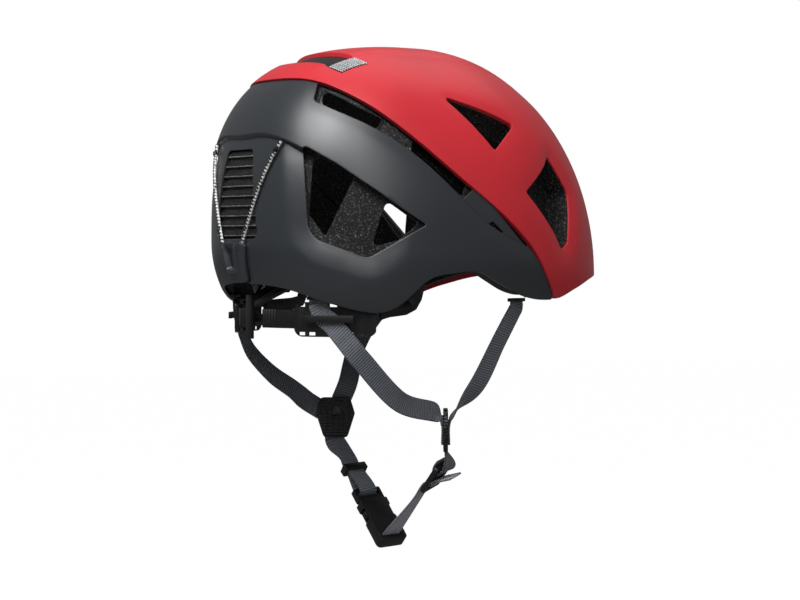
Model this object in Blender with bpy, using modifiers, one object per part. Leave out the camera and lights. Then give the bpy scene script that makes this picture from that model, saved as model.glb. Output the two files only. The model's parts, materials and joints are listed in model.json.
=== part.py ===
"""Climbing helmet with a two-piece moulded shell, foam liner, slide-adjusted head cradle,
rear headlamp bungee and a webbing chin strap with a side-release buckle.

Metres, +Z up, front of the helmet towards -Y, wearer's right towards -X.
The origin is the middle of the head opening at the height of the rim.
"""
import math

import bmesh
import bpy
from mathutils import Matrix, Vector

# Outer form of the helmet
HALF_WIDTH = 0.110
FRONT_LENGTH = 0.140
REAR_LENGTH = 0.132
CROWN_HEIGHT = 0.168
FRONT_EQUATOR = 0.006
SIDE_EQUATOR = 0.026
REAR_EQUATOR = 0.036
UNDERCURVE = 0.100
PLAN_POWER_FRONT = 2.2
PLAN_POWER_REAR = 2.6
RISE_POWER_FRONT = 2.0
RISE_POWER_SIDE = 2.35
RISE_POWER_REAR = 3.0
DOME = (HALF_WIDTH, REAR_LENGTH, CROWN_HEIGHT)
# The same three sizes of the dome that outlines and stations are drawn on; they stretch to fit this one
DRAWN_ON = (0.110, 0.132, 0.168)

# Walls and clearances
SHELL_WALL = 0.0024
SHELL_PROUD = 0.0006
FOAM_GAP = 0.0009
FOAM_WALL = 0.0170
FOAM_RIM_RISE = 0.0030
FOAM_RIM_FLOOR = -0.0020
FIT_GAP = 0.0003
SEAM_DEG = 0.5
LEDGE_STEP = 0.0030
LEDGE_LIP_DEG = 0.8
FOAM_LEDGE_DEG = 2.4
DISH_DEPTH = 0.0035
DISH_REACH = 0.014
DISH_FRONT = 0.006
DISH_FADE = 0.020

# Heading from the rear (degrees) and height of the lower rim, and of the ledge under the band
RIM_STATIONS = [(0, 0.007), (22, 0.003), (38, -0.007), (52, -0.013), (60, -0.008), (70, 0.009),
                (79, 0.015), (89, 0.016), (97, 0.008), (111, -0.003), (124, -0.005),
                (134, 0.002), (146, 0.009), (180, 0.016)]
LEDGE_STATIONS = [(0, 0.106), (16, 0.106), (29, 0.097), (50, 0.072), (69, 0.045),
                  (90, 0.032), (110, 0.020), (124, 0.004), (140, -0.004)]
# Side view of the line where the two shells part: Y and height
SPLIT_STATIONS = [(-0.140, -0.110), (-0.066, -0.005), (-0.039, 0.032), (0.022, 0.082),
                  (0.085, 0.136), (0.100, 0.143), (0.140, 0.144)]
LEDGE_FULL_DEG = 30.0
LEDGE_FADE_DEG = 44.0

# Mesh density of the dome pieces
UPPER_COLUMNS = 40
UPPER_ROWS = 6
LOWER_COLUMNS = 42
LOWER_ROWS_UNDER = 5
LOWER_ROWS_BAND = 3

# Openings: yaw and pitch of the drawing plane, then corners (forward, up, corner radius)
SIDE_VENT_PLANE = (30.0, 0.0)
SIDE_VENT = [(-0.0640, 0.098, 0.002), (-0.060, 0.037, 0.016), (-0.021, 0.023, 0.009),
             (0.0175, 0.045, 0.001), (0.001, 0.056, 0.0), (-0.022, 0.072, 0.0), (-0.041, 0.085, 0.0)]
SLOT = [(-0.0520, 0.150, 0.0), (-0.0565, 0.125, 0.004), (-0.0410, 0.121, 0.0), (-0.012, 0.104, 0.0),
        (0.027, 0.077, 0.0), (0.054, 0.046, 0.0), (0.066, 0.038, 0.0), (0.085, 0.029, 0.0),
        (0.092, 0.040, 0.0), (0.033, 0.095, 0.0), (-0.010, 0.128, 0.0)]
FOAM_HOLE_REAR = [(-0.057, 0.090, 0.005), (-0.058, 0.058, 0.006), (-0.049, 0.037, 0.004),
                  (-0.031, 0.079, 0.005)]
FOAM_HOLE_FRONT = [(-0.009, 0.061, 0.003), (-0.019, 0.030, 0.003), (-0.001, 0.035, 0.004),
                   (0.012, 0.046, 0.002)]
SLOT_POCKET = [(-0.050, 0.134, 0.003), (-0.052, 0.125, 0.003), (-0.016, 0.1075, 0.003),
               (-0.011, 0.115, 0.003)]
POCKET_FRAME_WALL = 0.0016
CROWN_SIDE_VENT_PLANE = (0.0, 35.0)
CROWN_SIDE_VENT = [(-0.017, 0.061, 0.002), (0.015, 0.020, 0.0015), (0.037, 0.041, 0.002)]
FRONT_VENT_PLANE = (-35.0, 10.0)
FRONT_VENT = [(0.005, 0.072, 0.002), (-0.029, 0.048, 0.002), (0.003, 0.007, 0.003),
              (0.012, 0.012, 0.003), (0.021, 0.046, 0.010)]
REAR_PLANE = (90.0, 0.0)
TOP_PLANE = (90.0, 90.0)
CROWN_SLOT_HALF = 0.054
CROWN_SLOT_REAR = -0.086
CROWN_SLOT_FRONT = -0.066
CROWN_SLOT_BOW = 0.010
CUT_INNER = 0.030
CUT_OUTER = 0.190

# Rear window with its ribbed panel
WINDOW_TOP_HALF = 0.019
WINDOW_FOOT_HALF = 0.031
WINDOW_LEDGE_GAP = 0.010
WINDOW_TOP = LEDGE_STATIONS[0][1] * CROWN_HEIGHT / DRAWN_ON[2] - WINDOW_LEDGE_GAP
WINDOW_FOOT = 0.036
WINDOW_RADIUS = 0.005
PANEL_WALL = 0.0011
PANEL_RIBS = 9
PANEL_RIB_HEIGHT = 0.0011
PANEL_RIB_WIDTH = 0.0030

# Rear bungee and its pull tab
TAB_TOP_HALF = 0.0170
TAB_FOOT_HALF = 0.0115
TAB_TOP = 0.0335
TAB_FOOT = 0.0065
TAB_THICK = 0.0042
TAB_TOP_RADIUS = 0.003
TAB_FOOT_RADIUS = 0.004
TAB_SCOOP = 0.0014
SCOOP_RISE = 0.007
SCOOP_RADIUS = 0.0025
CORD_DIAMETER = 0.0024
CORD_FOOT_X = 0.0125
CORD_SEAT = 0.0050
CORD_STEPS = 10
ANCHOR_X = 0.0455
ANCHOR_DROP = 0.0010
ANCHOR_Z = WINDOW_TOP - ANCHOR_DROP
ANCHOR_RADIUS = 0.0034
ANCHOR_HEIGHT = 0.0044

# Headlamp clips in the front ends of the side slots: outline and hook opening
CLIP = [(0.0405, 0.0638, 0.0), (0.0547, 0.0472, 0.0), (0.0664, 0.0392, 0.0), (0.0800, 0.0326, 0.001),
        (0.0785, 0.0385, 0.001), (0.0600, 0.0562, 0.0), (0.0405, 0.0730, 0.001)]
CLIP_OPENING = [(0.0580, 0.0480, 0.0006), (0.0690, 0.0405, 0.0006), (0.0640, 0.0485, 0.0006)]
CLIP_DEPTH = 0.0008
CLIP_WALL = 0.0018

# Headings and rises of the dome that the pocket frames, clips and crown mesh are cut from
FRAME_PATCH = ((20, 68), (14, 52))
CLIP_PATCH = ((78, 118), (-4, 20))
MESH_PATCH = ((-52, 52), (40, 74))

# Head cradle, concentric with an upright axis and clear of the nearest wall of the shell
CRADLE_Y = 0.020
CRADLE_Z = -0.0175
BAND_SHELL_GAP = 0.016
BAND_RADIUS = min(HALF_WIDTH, REAR_LENGTH - CRADLE_Y) - BAND_SHELL_GAP
BAND_WALL = 0.0020
BAND_HEIGHT = 0.0125
BAND_END_DEG = 56.0
RACK_HEIGHT = 0.0060
RACK_END_DEG = 21.5
GRIP_START_DEG = 7.0
GRIP_END_DEG = 16.0
GRIP_WALL = 0.0020
GRIP_RIBS = 5
GRIP_RIB_HEIGHT = 0.0008
GUIDE_START_DEG = 27.0
GUIDE_END_DEG = 61.0
GUIDE_WALL = 0.0024
GUIDE_HEIGHT = 0.0230
GUIDE_LIP = 0.0012
GUIDE_SLOTS_DEG = (30.5, 35.0, 44.0, 53.0, 57.5)
GUIDE_SLOT_LENGTH = 0.0055
GUIDE_SLOT_HEIGHT = 0.0022
LOOP_START_DEG = 32.5
LOOP_END_DEG = 52.5
LOOP_POST_DEG = 2.0
LOOP_BAR = 0.0046
LOOP_WALL = 0.0020
LOOP_DROP = 0.0005
LOOP_EDGE_DEG = 0.2
BAND_JOIN_DEG = 0.2
HANGER_GAP_DEG = 1.0
HANGER_BEND_DEG = 5.0
HANGER_LEAN_DEG = 3.0
YOKE_WIDTH = 0.0070
YOKE_WALL = 0.0026
YOKE_FOOT = -0.0315
YOKE_CROTCH = -0.0060
YOKE_TOP = 0.0260
YOKE_KNEE = 0.0030
YOKE_INNER_SPREAD = 0.0090
YOKE_OUTER_SPREAD = 0.0260
YOKE_LEG = 0.0042
YOKE_BLOCK_DEG = 1.4
HANGER_WIDTH = 0.0090
HANGER_WALL = 0.0018
HANGER_DEG = 68.0
HANGER_LIFT = 0.0040
HANGER_TOP = 0.0300
PIN_RADIUS = 0.0038
PIN_HEIGHT = 0.0016

# Webbing: rear straps cross the guides at these headings and heights, then all hang by points
WEB_WIDTH = 0.0140
WEB_WALL = 0.0016
WEB_STEPS = 3
REAR_STRAP_ARC = ((40.3, -0.0150), (44.5, -0.0215), (48.6, -0.0300))
REAR_HANG = {"right": [(-0.0785, 0.0750, -0.0440), (-0.0755, 0.0440, -0.0725)],
             "left": [(0.0760, 0.0780, -0.0440), (0.0755, 0.0620, -0.0600), (0.0765, 0.0450, -0.0710)]}
FRONT_HANG = {"right": [(-0.0870, -0.0265, -0.0340), (-0.0795, -0.0150, -0.0620)],
              "left": [(0.0860, -0.0215, -0.0270), (0.0800, -0.0080, -0.0460)]}
STRAP_DROP = 0.0025
STRAP_LEAD_SHARE = 0.17
ANCHOR_BLOCK = (0.0160, 0.0040, 0.0024)
REAR_ANCHOR_DEG = 38.5
REAR_ANCHOR_Z = -0.0033
FRONT_ANCHOR_DEG = 113.0
FRONT_ANCHOR_Z = -0.0052

# Strap dividers: middle, and the way the face looks
DIVIDERS = {"right": ((-0.0670, 0.0030, -0.0935), (0.50, 0.866, 0.0)),
            "left": ((0.0670, 0.0150, -0.0920), (-0.90, 0.436, 0.0))}
DIVIDER_WIDTH = 0.0280
DIVIDER_FOOT_WIDTH = 0.0170
DIVIDER_HEIGHT = 0.0290
DIVIDER_WALL = 0.0030
DIVIDER_WINDOW = 0.0085
DIVIDER_CHEEK = 0.0029
DIVIDER_TOP_HALF = 0.0105
DIVIDER_RADIUS = 0.0030
DIVIDER_WINDOW_RADIUS = 0.0010

# Buckle: middle of the webbing bar, and the outer end of the female half
BUCKLE_BAR = (0.0280, 0.0120, -0.1420)
BUCKLE_END = (-0.0040, 0.0080, -0.1760)
BUCKLE_WIDTH = 0.0220
BUCKLE_THICK = 0.0080
BUCKLE_WAIST = 0.0012
CAVITY_LENGTH = 0.0175
CAVITY_WIDTH = 0.0174
CAVITY_HEIGHT = 0.0050
BAR_WIDTH = 0.0024
BAR_SLOT = 0.0040
BAR_POST = 0.0028
MALE_THICK = 0.0040
SHOULDER = 0.0044
TONGUE_LENGTH = 0.0140
TONGUE_WIDTH = 0.0034
PRONG_LENGTH = 0.0150
PRONG_WIDTH = 0.0022
PRONG_INSET = 0.0058
PRONG_BUMP = 0.0039
PRONG_BUMP_START = 0.0072
PRONG_RADIUS = 0.0008
BUCKLE_RADIUS = 0.0010
BUCKLE_END_RADIUS = 0.0030
CAVITY_MOUTH = 0.0020
WINDOW_MARGIN = 0.0008
END_SLOT = 0.0028
END_BAR = 0.0044
KEEPER_LENGTH = 0.0055
KEEPER_WALL = 0.0014
KEEPER_BACK = 0.0200
LAYER_GAP = 0.0006
STRAP_CLEAR = 0.0006

# Ladder-lock adjuster on the right chin strap
ADJUSTER = (-0.0525, 0.0015, -0.1260)
ADJUSTER_ACROSS = (-0.60, 0.80, 0.0)
ADJUSTER_LENGTH = 0.0240
ADJUSTER_WIDTH = 0.0205
ADJUSTER_WALL = 0.0034
ADJUSTER_BAR = 0.0030
ADJUSTER_RADIUS = 0.0020

# Comfort pads: heading and rise of the edges
PAD_GAP = 0.0013
PAD_WALL = 0.0060
PAD_EDGE = 0.0020
PAD_TAPER = 0.35
BROW_PAD_DEG = (146.0, 214.0)
BROW_PAD_LEVELS = (0.022, 0.052)
NAPE_PAD_DEG = (22.0, 46.0)
NAPE_PAD_LEVELS = (0.002, 0.034)
CROWN_PAD_RISE_DEG = 68.0

SIDES = (("right", 1), ("left", -1))
COLLECTION = bpy.data.collections.new("climbing_helmet")
CUTTERS = bpy.data.collections.new("cutters")


# Small helpers

def clear_scene():
    for item in list(bpy.data.objects):
        bpy.data.objects.remove(item, do_unlink=True)
    bpy.context.scene.collection.children.link(COLLECTION)
    bpy.context.scene.collection.children.link(CUTTERS)


def material(name, colour, roughness, metallic=0.0):
    made = bpy.data.materials.get(name)
    if made:
        return made
    made = bpy.data.materials.new(name)
    made.use_nodes = True
    shader = made.node_tree.nodes["Principled BSDF"]
    shader.inputs["Base Color"].default_value = (*colour, 1.0)
    shader.inputs["Roughness"].default_value = roughness
    shader.inputs["Metallic"].default_value = metallic
    return made


def finishes():
    return {
        "red": material("red_abs", (0.55, 0.018, 0.025), 0.38),
        "grey": material("charcoal_abs", (0.030, 0.034, 0.040), 0.42),
        "foam": material("black_foam", (0.020, 0.020, 0.022), 0.85),
        "black": material("black_nylon", (0.010, 0.010, 0.011), 0.45),
        "web": material("grey_webbing", (0.060, 0.062, 0.068), 0.80),
        "cord": material("black_bungee", (0.020, 0.020, 0.020), 0.75),
        "mesh": material("silver_mesh", (0.50, 0.50, 0.50), 0.55),
        "pad": material("grey_pad", (0.055, 0.058, 0.065), 0.95),
    }


def add_mesh(name, bm, finish, collection=COLLECTION):
    bmesh.ops.recalc_face_normals(bm, faces=bm.faces[:])
    mesh = bpy.data.meshes.new(name)
    bm.to_mesh(mesh)
    bm.free()
    made = bpy.data.objects.new(name, mesh)
    collection.objects.link(made)
    if finish:
        mesh.materials.append(finish)
        mesh.shade_smooth()
        mesh.set_sharp_from_angle(angle=math.radians(35))
    else:
        made.hide_render = True
        made.display_type = 'WIRE'
    return made


def boolean(target, tool, operation='DIFFERENCE'):
    step = target.modifiers.new(operation.lower(), 'BOOLEAN')
    step.operation = operation
    step.solver = 'EXACT'
    step.object = tool


def smooth_value(stations, at):
    """Cubic through hand-set stations, level at both ends."""
    keys = [s[0] for s in stations]
    vals = [s[1] for s in stations]
    at = min(max(at, keys[0]), keys[-1])
    i = min(max(sum(k <= at for k in keys) - 1, 0), len(keys) - 2)

    def slope(j):
        if j == 0 or j == len(keys) - 1:
            a, b = (0, 1) if j == 0 else (j - 1, j)
        else:
            a, b = j - 1, j + 1
        return (vals[b] - vals[a]) / (keys[b] - keys[a])
    h = keys[i + 1] - keys[i]
    t = (at - keys[i]) / h
    return ((2 * t ** 3 - 3 * t ** 2 + 1) * vals[i] + (t ** 3 - 2 * t ** 2 + t) * h * slope(i)
            + (3 * t ** 2 - 2 * t ** 3) * vals[i + 1] + (t ** 3 - t ** 2) * h * slope(i + 1))


def smooth_path(points, steps):
    """Catmull-Rom points through a hand-set route."""
    pts = [Vector(p) for p in points]
    ext = [2 * pts[0] - pts[1]] + pts + [2 * pts[-1] - pts[-2]]
    out = []
    for i in range(1, len(ext) - 2):
        for k in range(steps):
            t = k / steps
            a, b, c, d = ext[i - 1:i + 3]
            out.append(0.5 * (2 * b + (c - a) * t + (2 * a - 5 * b + 4 * c - d) * t * t
                              + (3 * b - a - 3 * c + d) * t ** 3))
    out.append(pts[-1])
    return out


# The dome that both shells and the foam follow

def by_heading(front, side, rear, theta):
    c = math.cos(theta)
    return side + ((rear if c > 0 else front) - side) * c * c


def dome_point(theta, phi, inset=0.0):
    """Point at a heading from the rear (towards the wearer's right) and an angle of rise."""
    s, c = math.sin(theta), math.cos(theta)
    length = (REAR_LENGTH if c > 0 else FRONT_LENGTH) - inset
    power = PLAN_POWER_REAR if c > 0 else PLAN_POWER_FRONT
    reach = (abs(s / (HALF_WIDTH - inset)) ** power + abs(c / length) ** power) ** (-1 / power)
    rise = by_heading(RISE_POWER_FRONT, RISE_POWER_SIDE, RISE_POWER_REAR, theta)
    equator = by_heading(FRONT_EQUATOR, SIDE_EQUATOR, REAR_EQUATOR, theta)
    if phi >= 0:
        out = max(math.cos(phi), 0.0) ** (2 / rise)
        up = equator + (CROWN_HEIGHT - inset - equator) * math.sin(phi) ** (2 / rise)
    else:
        out = math.cos(phi)
        up = equator - UNDERCURVE * math.sin(-phi)
    return Vector((-reach * s * out, reach * c * out, up))


def rise_where(theta, height_at):
    """Angle of rise at which the dome reaches a height given by the point's Y."""
    low, high = math.radians(-40), math.radians(75)
    for _ in range(40):
        mid = (low + high) / 2
        p = dome_point(theta, mid)
        if p.z < height_at(p.y):
            low = mid
        else:
            high = mid
    return (low + high) / 2


def stretched(point):
    """Point drawn on the drawn dome, moved to the same place on this one; the front keeps its distance."""
    width, rear, height = (now / drawn for now, drawn in zip(DOME, DRAWN_ON))
    return Vector((point.x * width, point.y * (rear if point.y > 0 else 1.0), point.z * height))


UP = Vector((0, 0, 1))
LEDGE_LINE = [(deg, stretched(UP * z).z) for deg, z in LEDGE_STATIONS]
SPLIT_LINE = [stretched(Vector((0, y, z))).yz for y, z in SPLIT_STATIONS]


def heading_deg(theta):
    deg = abs(math.degrees(theta)) % 360
    return 360 - deg if deg > 180 else deg


def rim_rise(theta, foam=False):
    height = smooth_value(RIM_STATIONS, heading_deg(theta))
    if foam:
        height = max(height + FOAM_RIM_RISE, FOAM_RIM_FLOOR)
    return rise_where(theta, lambda y: height)


def ledge_rise(theta):
    height = smooth_value(LEDGE_LINE, heading_deg(theta))
    return rise_where(theta, lambda y: height)


def split_rise(theta):
    return rise_where(theta, lambda y: smooth_value(SPLIT_LINE, y))


def meeting_heading():
    """Heading at which the parting line runs into the rim, in front of the temple."""
    low, high = math.radians(95), math.radians(150)
    for _ in range(30):
        mid = (low + high) / 2
        if split_rise(mid) - rim_rise(mid) > math.radians(2.5):
            low = mid
        else:
            high = mid
    return low


def plane_axes(plane, side):
    """Forward, up and outward axes of a drawing plane; side is 1 on the wearer's right."""
    yaw, pitch = math.radians(plane[0]), math.radians(plane[1])
    forward = Vector((-math.sin(yaw) * side, -math.cos(yaw), 0))
    out = Vector((-math.cos(yaw) * math.cos(pitch) * side, math.sin(yaw) * math.cos(pitch),
                  math.sin(pitch)))
    up = Vector((math.cos(yaw) * math.sin(pitch) * side, -math.sin(yaw) * math.sin(pitch),
                 math.cos(pitch)))
    return forward, up, out


def rounded(corners, steps=3, grow=0.0):
    """Outline with each corner rounded by its own radius, moved out by grow."""
    middle = Vector((sum(c[0] for c in corners), sum(c[1] for c in corners))) / len(corners)
    out = []
    for i, (u, v, radius) in enumerate(corners):
        here = Vector((u, v))
        before = (Vector(corners[i - 1][:2]) - here).normalized()
        after = (Vector(corners[(i + 1) % len(corners)][:2]) - here).normalized()
        if radius <= 0:
            out.append(here)
            continue
        half = before.angle(after) / 2
        reach = radius / math.tan(half)
        centre = here + (before + after).normalized() * radius / math.sin(half)
        start = here + before * reach - centre
        sweep = start.angle_signed(here + after * reach - centre)
        for k in range(steps + 1):
            turn = Matrix.Rotation(-sweep * k / steps, 2)
            out.append(centre + turn @ start)
    return [p + (p - middle).normalized() * grow for p in out]


def fitted(corners, plane):
    """Outline drawn on a plane, moved with the part of the dome that it lies on."""
    forward, up, out = plane_axes(plane, 1)
    unit = Vector([1 / size for size in DRAWN_ON])
    ray = out * unit
    done = []
    for u, v, radius in corners:
        flat = forward * u + up * v
        start = flat * unit
        mid = start.dot(ray)
        room = max(mid * mid - ray.length_squared * (start.length_squared - 1), 0.0)
        p = stretched(flat + out * (math.sqrt(room) - mid) / ray.length_squared)
        done.append((p.dot(forward), p.dot(up), radius))
    return done


def prism(name, outline, plane, side=1, inner=CUT_INNER, outer=CUT_OUTER):
    """Straight cutter through a wall, from an outline on a drawing plane."""
    forward, up, out = plane_axes(plane, side)
    bm = bmesh.new()
    rings = [[bm.verts.new(forward * p.x + up * p.y + out * d) for p in outline]
             for d in (inner, outer)]
    bm.faces.new(rings[0])
    bm.faces.new(rings[1])
    for i in range(len(outline)):
        j = (i + 1) % len(outline)
        bm.faces.new((rings[0][i], rings[0][j], rings[1][j], rings[1][i]))
    return add_mesh(name, bm, None, CUTTERS)


def distance_outside(point, outline):
    """Distance of a plane point from an outline, zero inside it."""
    inside = False
    best = 1.0
    for i, a in enumerate(outline):
        b = outline[(i + 1) % len(outline)]
        edge = b - a
        t = min(max((point - a).dot(edge) / max(edge.length_squared, 1e-12), 0), 1)
        best = min(best, (a + edge * t - point).length)
        if (a.y > point.y) != (b.y > point.y):
            if point.x < (b.x - a.x) * (point.y - a.y) / (b.y - a.y) + a.x:
                inside = not inside
    return 0.0 if inside else best


VENT_EDGE = rounded(fitted(SIDE_VENT, SIDE_VENT_PLANE))


def recess(theta, phi):
    """Depth of the rear panel under the ledge and of the dish round the side vent."""
    deg = heading_deg(theta)
    fade = min(max((LEDGE_FADE_DEG - deg) / (LEDGE_FADE_DEG - LEDGE_FULL_DEG), 0), 1)
    p = dome_point(abs(theta), phi)
    forward, up, out = plane_axes(SIDE_VENT_PLANE, 1)
    along = p.dot(forward)
    near = max(1 - distance_outside(Vector((along, p.dot(up))), VENT_EDGE) / DISH_REACH, 0.0)
    depth = DISH_DEPTH * min(max((DISH_FRONT - along) / DISH_FADE, 0), 1)
    return LEDGE_STEP * fade + depth * near * near * (3 - 2 * near)


# Closed solids from grids and sections

def grid_faces(bm, rows, wrap):
    """Two triangles a cell, with diagonals that mirror each other across the middle."""
    for a, b in zip(rows, rows[1:]):
        count = len(a) if wrap else len(a) - 1
        for i in range(count):
            j = (i + 1) % len(a)
            if a[i].co.x + a[j].co.x < 0:
                bm.faces.new((a[i], a[j], b[j]))
                bm.faces.new((a[i], b[j], b[i]))
            else:
                bm.faces.new((a[i], a[j], b[i]))
                bm.faces.new((a[j], b[j], b[i]))


def pole_fan(bm, ring, pole):
    for i, v in enumerate(ring):
        bm.faces.new((v, ring[(i + 1) % len(ring)], pole))


def open_grid(name, rows, finish, wrap=False, pole=None):
    bm = bmesh.new()
    verts = [[bm.verts.new(p) for p in row] for row in rows]
    grid_faces(bm, verts, wrap)
    if pole is not None:
        pole_fan(bm, verts[-1], bm.verts.new(pole))
    return add_mesh(name, bm, finish)


def slab(name, outer, inner, finish, wrap=False, poles=None):
    """Solid between two like grids of points."""
    bm = bmesh.new()
    skins = [[[bm.verts.new(p) for p in row] for row in rows] for rows in (outer, inner)]
    for k, skin in enumerate(skins):
        grid_faces(bm, skin, wrap)
        if poles:
            pole_fan(bm, skin[-1], bm.verts.new(poles[k]))
    edges = [(skins[0][0], skins[1][0])]
    if not poles:
        edges.append((skins[0][-1], skins[1][-1]))
    if not wrap:
        for end in (0, -1):
            edges.append(([r[end] for r in skins[0]], [r[end] for r in skins[1]]))
    for a, b in edges:
        grid_faces(bm, [a, b], wrap and len(a) == len(outer[0]))
    return add_mesh(name, bm, finish, COLLECTION if finish else CUTTERS)


def sweep(name, section, frames, finish, collection=COLLECTION):
    """Section (x across, y through), or one a frame, carried along frames with both ends closed."""
    bm = bmesh.new()
    sections = section if isinstance(section[0], list) else [section] * len(frames)
    rings = [[bm.verts.new(f @ Vector((*p, 0))) for p in ring] for ring, f in zip(sections, frames)]
    for a, b in zip(rings, rings[1:]):
        for i in range(len(a)):
            j = (i + 1) % len(a)
            bm.faces.new((a[i], a[j], b[j], b[i]))
    bm.faces.new(rings[0])
    bm.faces.new(rings[-1])
    return add_mesh(name, bm, finish, collection)


def rectangle(width, height, u=0.0, v=0.0):
    w, h = width / 2, height / 2
    return [(u - w, v - h), (u + w, v - h), (u + w, v + h), (u - w, v + h)]


def frame_at(place, across, through):
    """Matrix with the section's x along across and its y along through."""
    across = across.normalized()
    through = (through - across * through.dot(across)).normalized()
    along = across.cross(through)
    m = Matrix((across, through, along)).transposed().to_4x4()
    m.translation = place
    return m


def arc_frames(start, end, side, steps):
    """Frames round the cradle's axis: section x is outward, y is up."""
    frames = []
    for k in range(steps + 1):
        a = math.radians(start + (end - start) * k / steps)
        out = Vector((-math.sin(a) * side, math.cos(a), 0))
        frames.append(frame_at(Vector((0, CRADLE_Y, CRADLE_Z)), out, Vector((0, 0, 1))))
    return frames


def plate(name, outline, thick, frame, finish, holes=()):
    """Flat outline with holes, given its thickness, standing in a frame."""
    flat = bpy.data.curves.new(name, 'CURVE')
    flat.dimensions = '2D'
    flat.fill_mode = 'BOTH'
    flat.extrude = thick / 2
    for loop in (outline, *holes):
        spline = flat.splines.new('POLY')
        spline.points.add(len(loop) - 1)
        for point, p in zip(spline.points, loop):
            point.co = (p[0], p[1], 0, 1)
        spline.use_cyclic_u = True
    drawn = bpy.data.objects.new(name + "_outline", flat)
    CUTTERS.objects.link(drawn)
    mesh = bpy.data.meshes.new_from_object(drawn.evaluated_get(bpy.context.evaluated_depsgraph_get()))
    bpy.data.objects.remove(drawn)
    bm = bmesh.new()
    bm.from_mesh(mesh)
    bpy.data.meshes.remove(mesh)
    bmesh.ops.remove_doubles(bm, verts=bm.verts[:], dist=1e-6)
    made = add_mesh(name, bm, finish, COLLECTION if finish else CUTTERS)
    made.matrix_world = frame
    return made


def cylinder(name, radius, depth, frame, finish, segments=16):
    bm = bmesh.new()
    bmesh.ops.create_cone(bm, cap_ends=True, segments=segments, radius1=radius, radius2=radius,
                          depth=depth)
    made = add_mesh(name, bm, finish, COLLECTION if finish else CUTTERS)
    made.matrix_world = frame
    return made


def box(name, size, frame, finish=None):
    bm = bmesh.new()
    bmesh.ops.create_cube(bm, size=1.0, matrix=Matrix.Diagonal((*size, 1)))
    made = add_mesh(name, bm, finish, COLLECTION if finish else CUTTERS)
    made.matrix_world = frame
    return made


def move_origin(name, place):
    """Put a moving piece's origin on the axis it moves about."""
    piece = bpy.data.objects[name]
    shift = Matrix.Translation(piece.matrix_world.inverted() @ place)
    piece.data.transform(shift.inverted())
    piece.matrix_world = piece.matrix_world @ shift


def frame_towards(place, along):
    """Matrix at a place with its Z along a direction."""
    m = along.to_track_quat('Z', 'Y').to_matrix().to_4x4()
    m.translation = place
    return m


def set_axes(place, along, across):
    """Matrix with X along a line and Y as near as can be to another."""
    along = along.normalized()
    across = (across - along * across.dot(along)).normalized()
    m = Matrix((along, across, along.cross(across))).transposed().to_4x4()
    m.translation = place
    return m


def ribbon_frames(path, faces):
    """Frames along a path, with the section's y towards the face given at each point."""
    frames = []
    for k, p in enumerate(path):
        along = path[min(k + 1, len(path) - 1)] - path[max(k - 1, 0)]
        across = faces[k].cross(along)
        frames.append(frame_at(p, across, along.cross(across)))
    return frames


# Shells and foam

def upper_rows(inset, foam=False):
    """Rows from the parting line or brim up to just below the crown."""
    rows = [[] for _ in range(UPPER_ROWS + 1)]
    for k in range(UPPER_COLUMNS):
        theta = 2 * math.pi * k / UPPER_COLUMNS
        low = max(split_rise(theta), rim_rise(theta))
        rises = [low + (math.pi / 2 - low) * r / (UPPER_ROWS + 1) for r in range(UPPER_ROWS + 1)]
        if foam:
            rises[0] = max(split_rise(theta), rim_rise(theta, True))
        for row, phi in zip(rows, rises):
            row.append(dome_point(theta, phi, inset))
    return rows


def lower_rises(theta, foam):
    """Angles of rise of one column: rim, panel, ledge and band."""
    low, high = rim_rise(theta), split_rise(theta) - math.radians(SEAM_DEG)
    ledge = min(max(ledge_rise(theta), low + (high - low) * 0.3), low + (high - low) * 0.75)
    under = ledge - math.radians(LEDGE_LIP_DEG)
    panel = [low + (under - low) * r / LOWER_ROWS_UNDER for r in range(LOWER_ROWS_UNDER + 1)]
    band = [ledge + (high - ledge) * r / LOWER_ROWS_BAND for r in range(LOWER_ROWS_BAND + 1)]
    if foam:
        panel[0] = min(rim_rise(theta, True), panel[0] + (panel[1] - panel[0]) * 0.7)
        step = min(math.radians(FOAM_LEDGE_DEG), (band[1] - band[0]) * 0.7)
        panel[-1] += step
        band[0] += step
    return panel, band


def lower_rows(depth, meet, foam=False):
    """Rows from the rim, over the ledge, to the parting line, open at the front."""
    rows = [[] for _ in range(LOWER_ROWS_UNDER + LOWER_ROWS_BAND + 2)]
    for k in range(LOWER_COLUMNS + 1):
        theta = meet * (2 * k / LOWER_COLUMNS - 1)
        panel, band = lower_rises(theta, foam)
        column = [dome_point(theta, phi, depth + recess(theta, phi)) for phi in panel]
        column += [dome_point(theta, phi, depth) for phi in band]
        for row, point in zip(rows, column):
            row.append(point)
    return rows


def solidify(target, wall):
    step = target.modifiers.new("wall", 'SOLIDIFY')
    step.thickness = wall
    step.offset = -1.0
    step.use_even_offset = True


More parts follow.
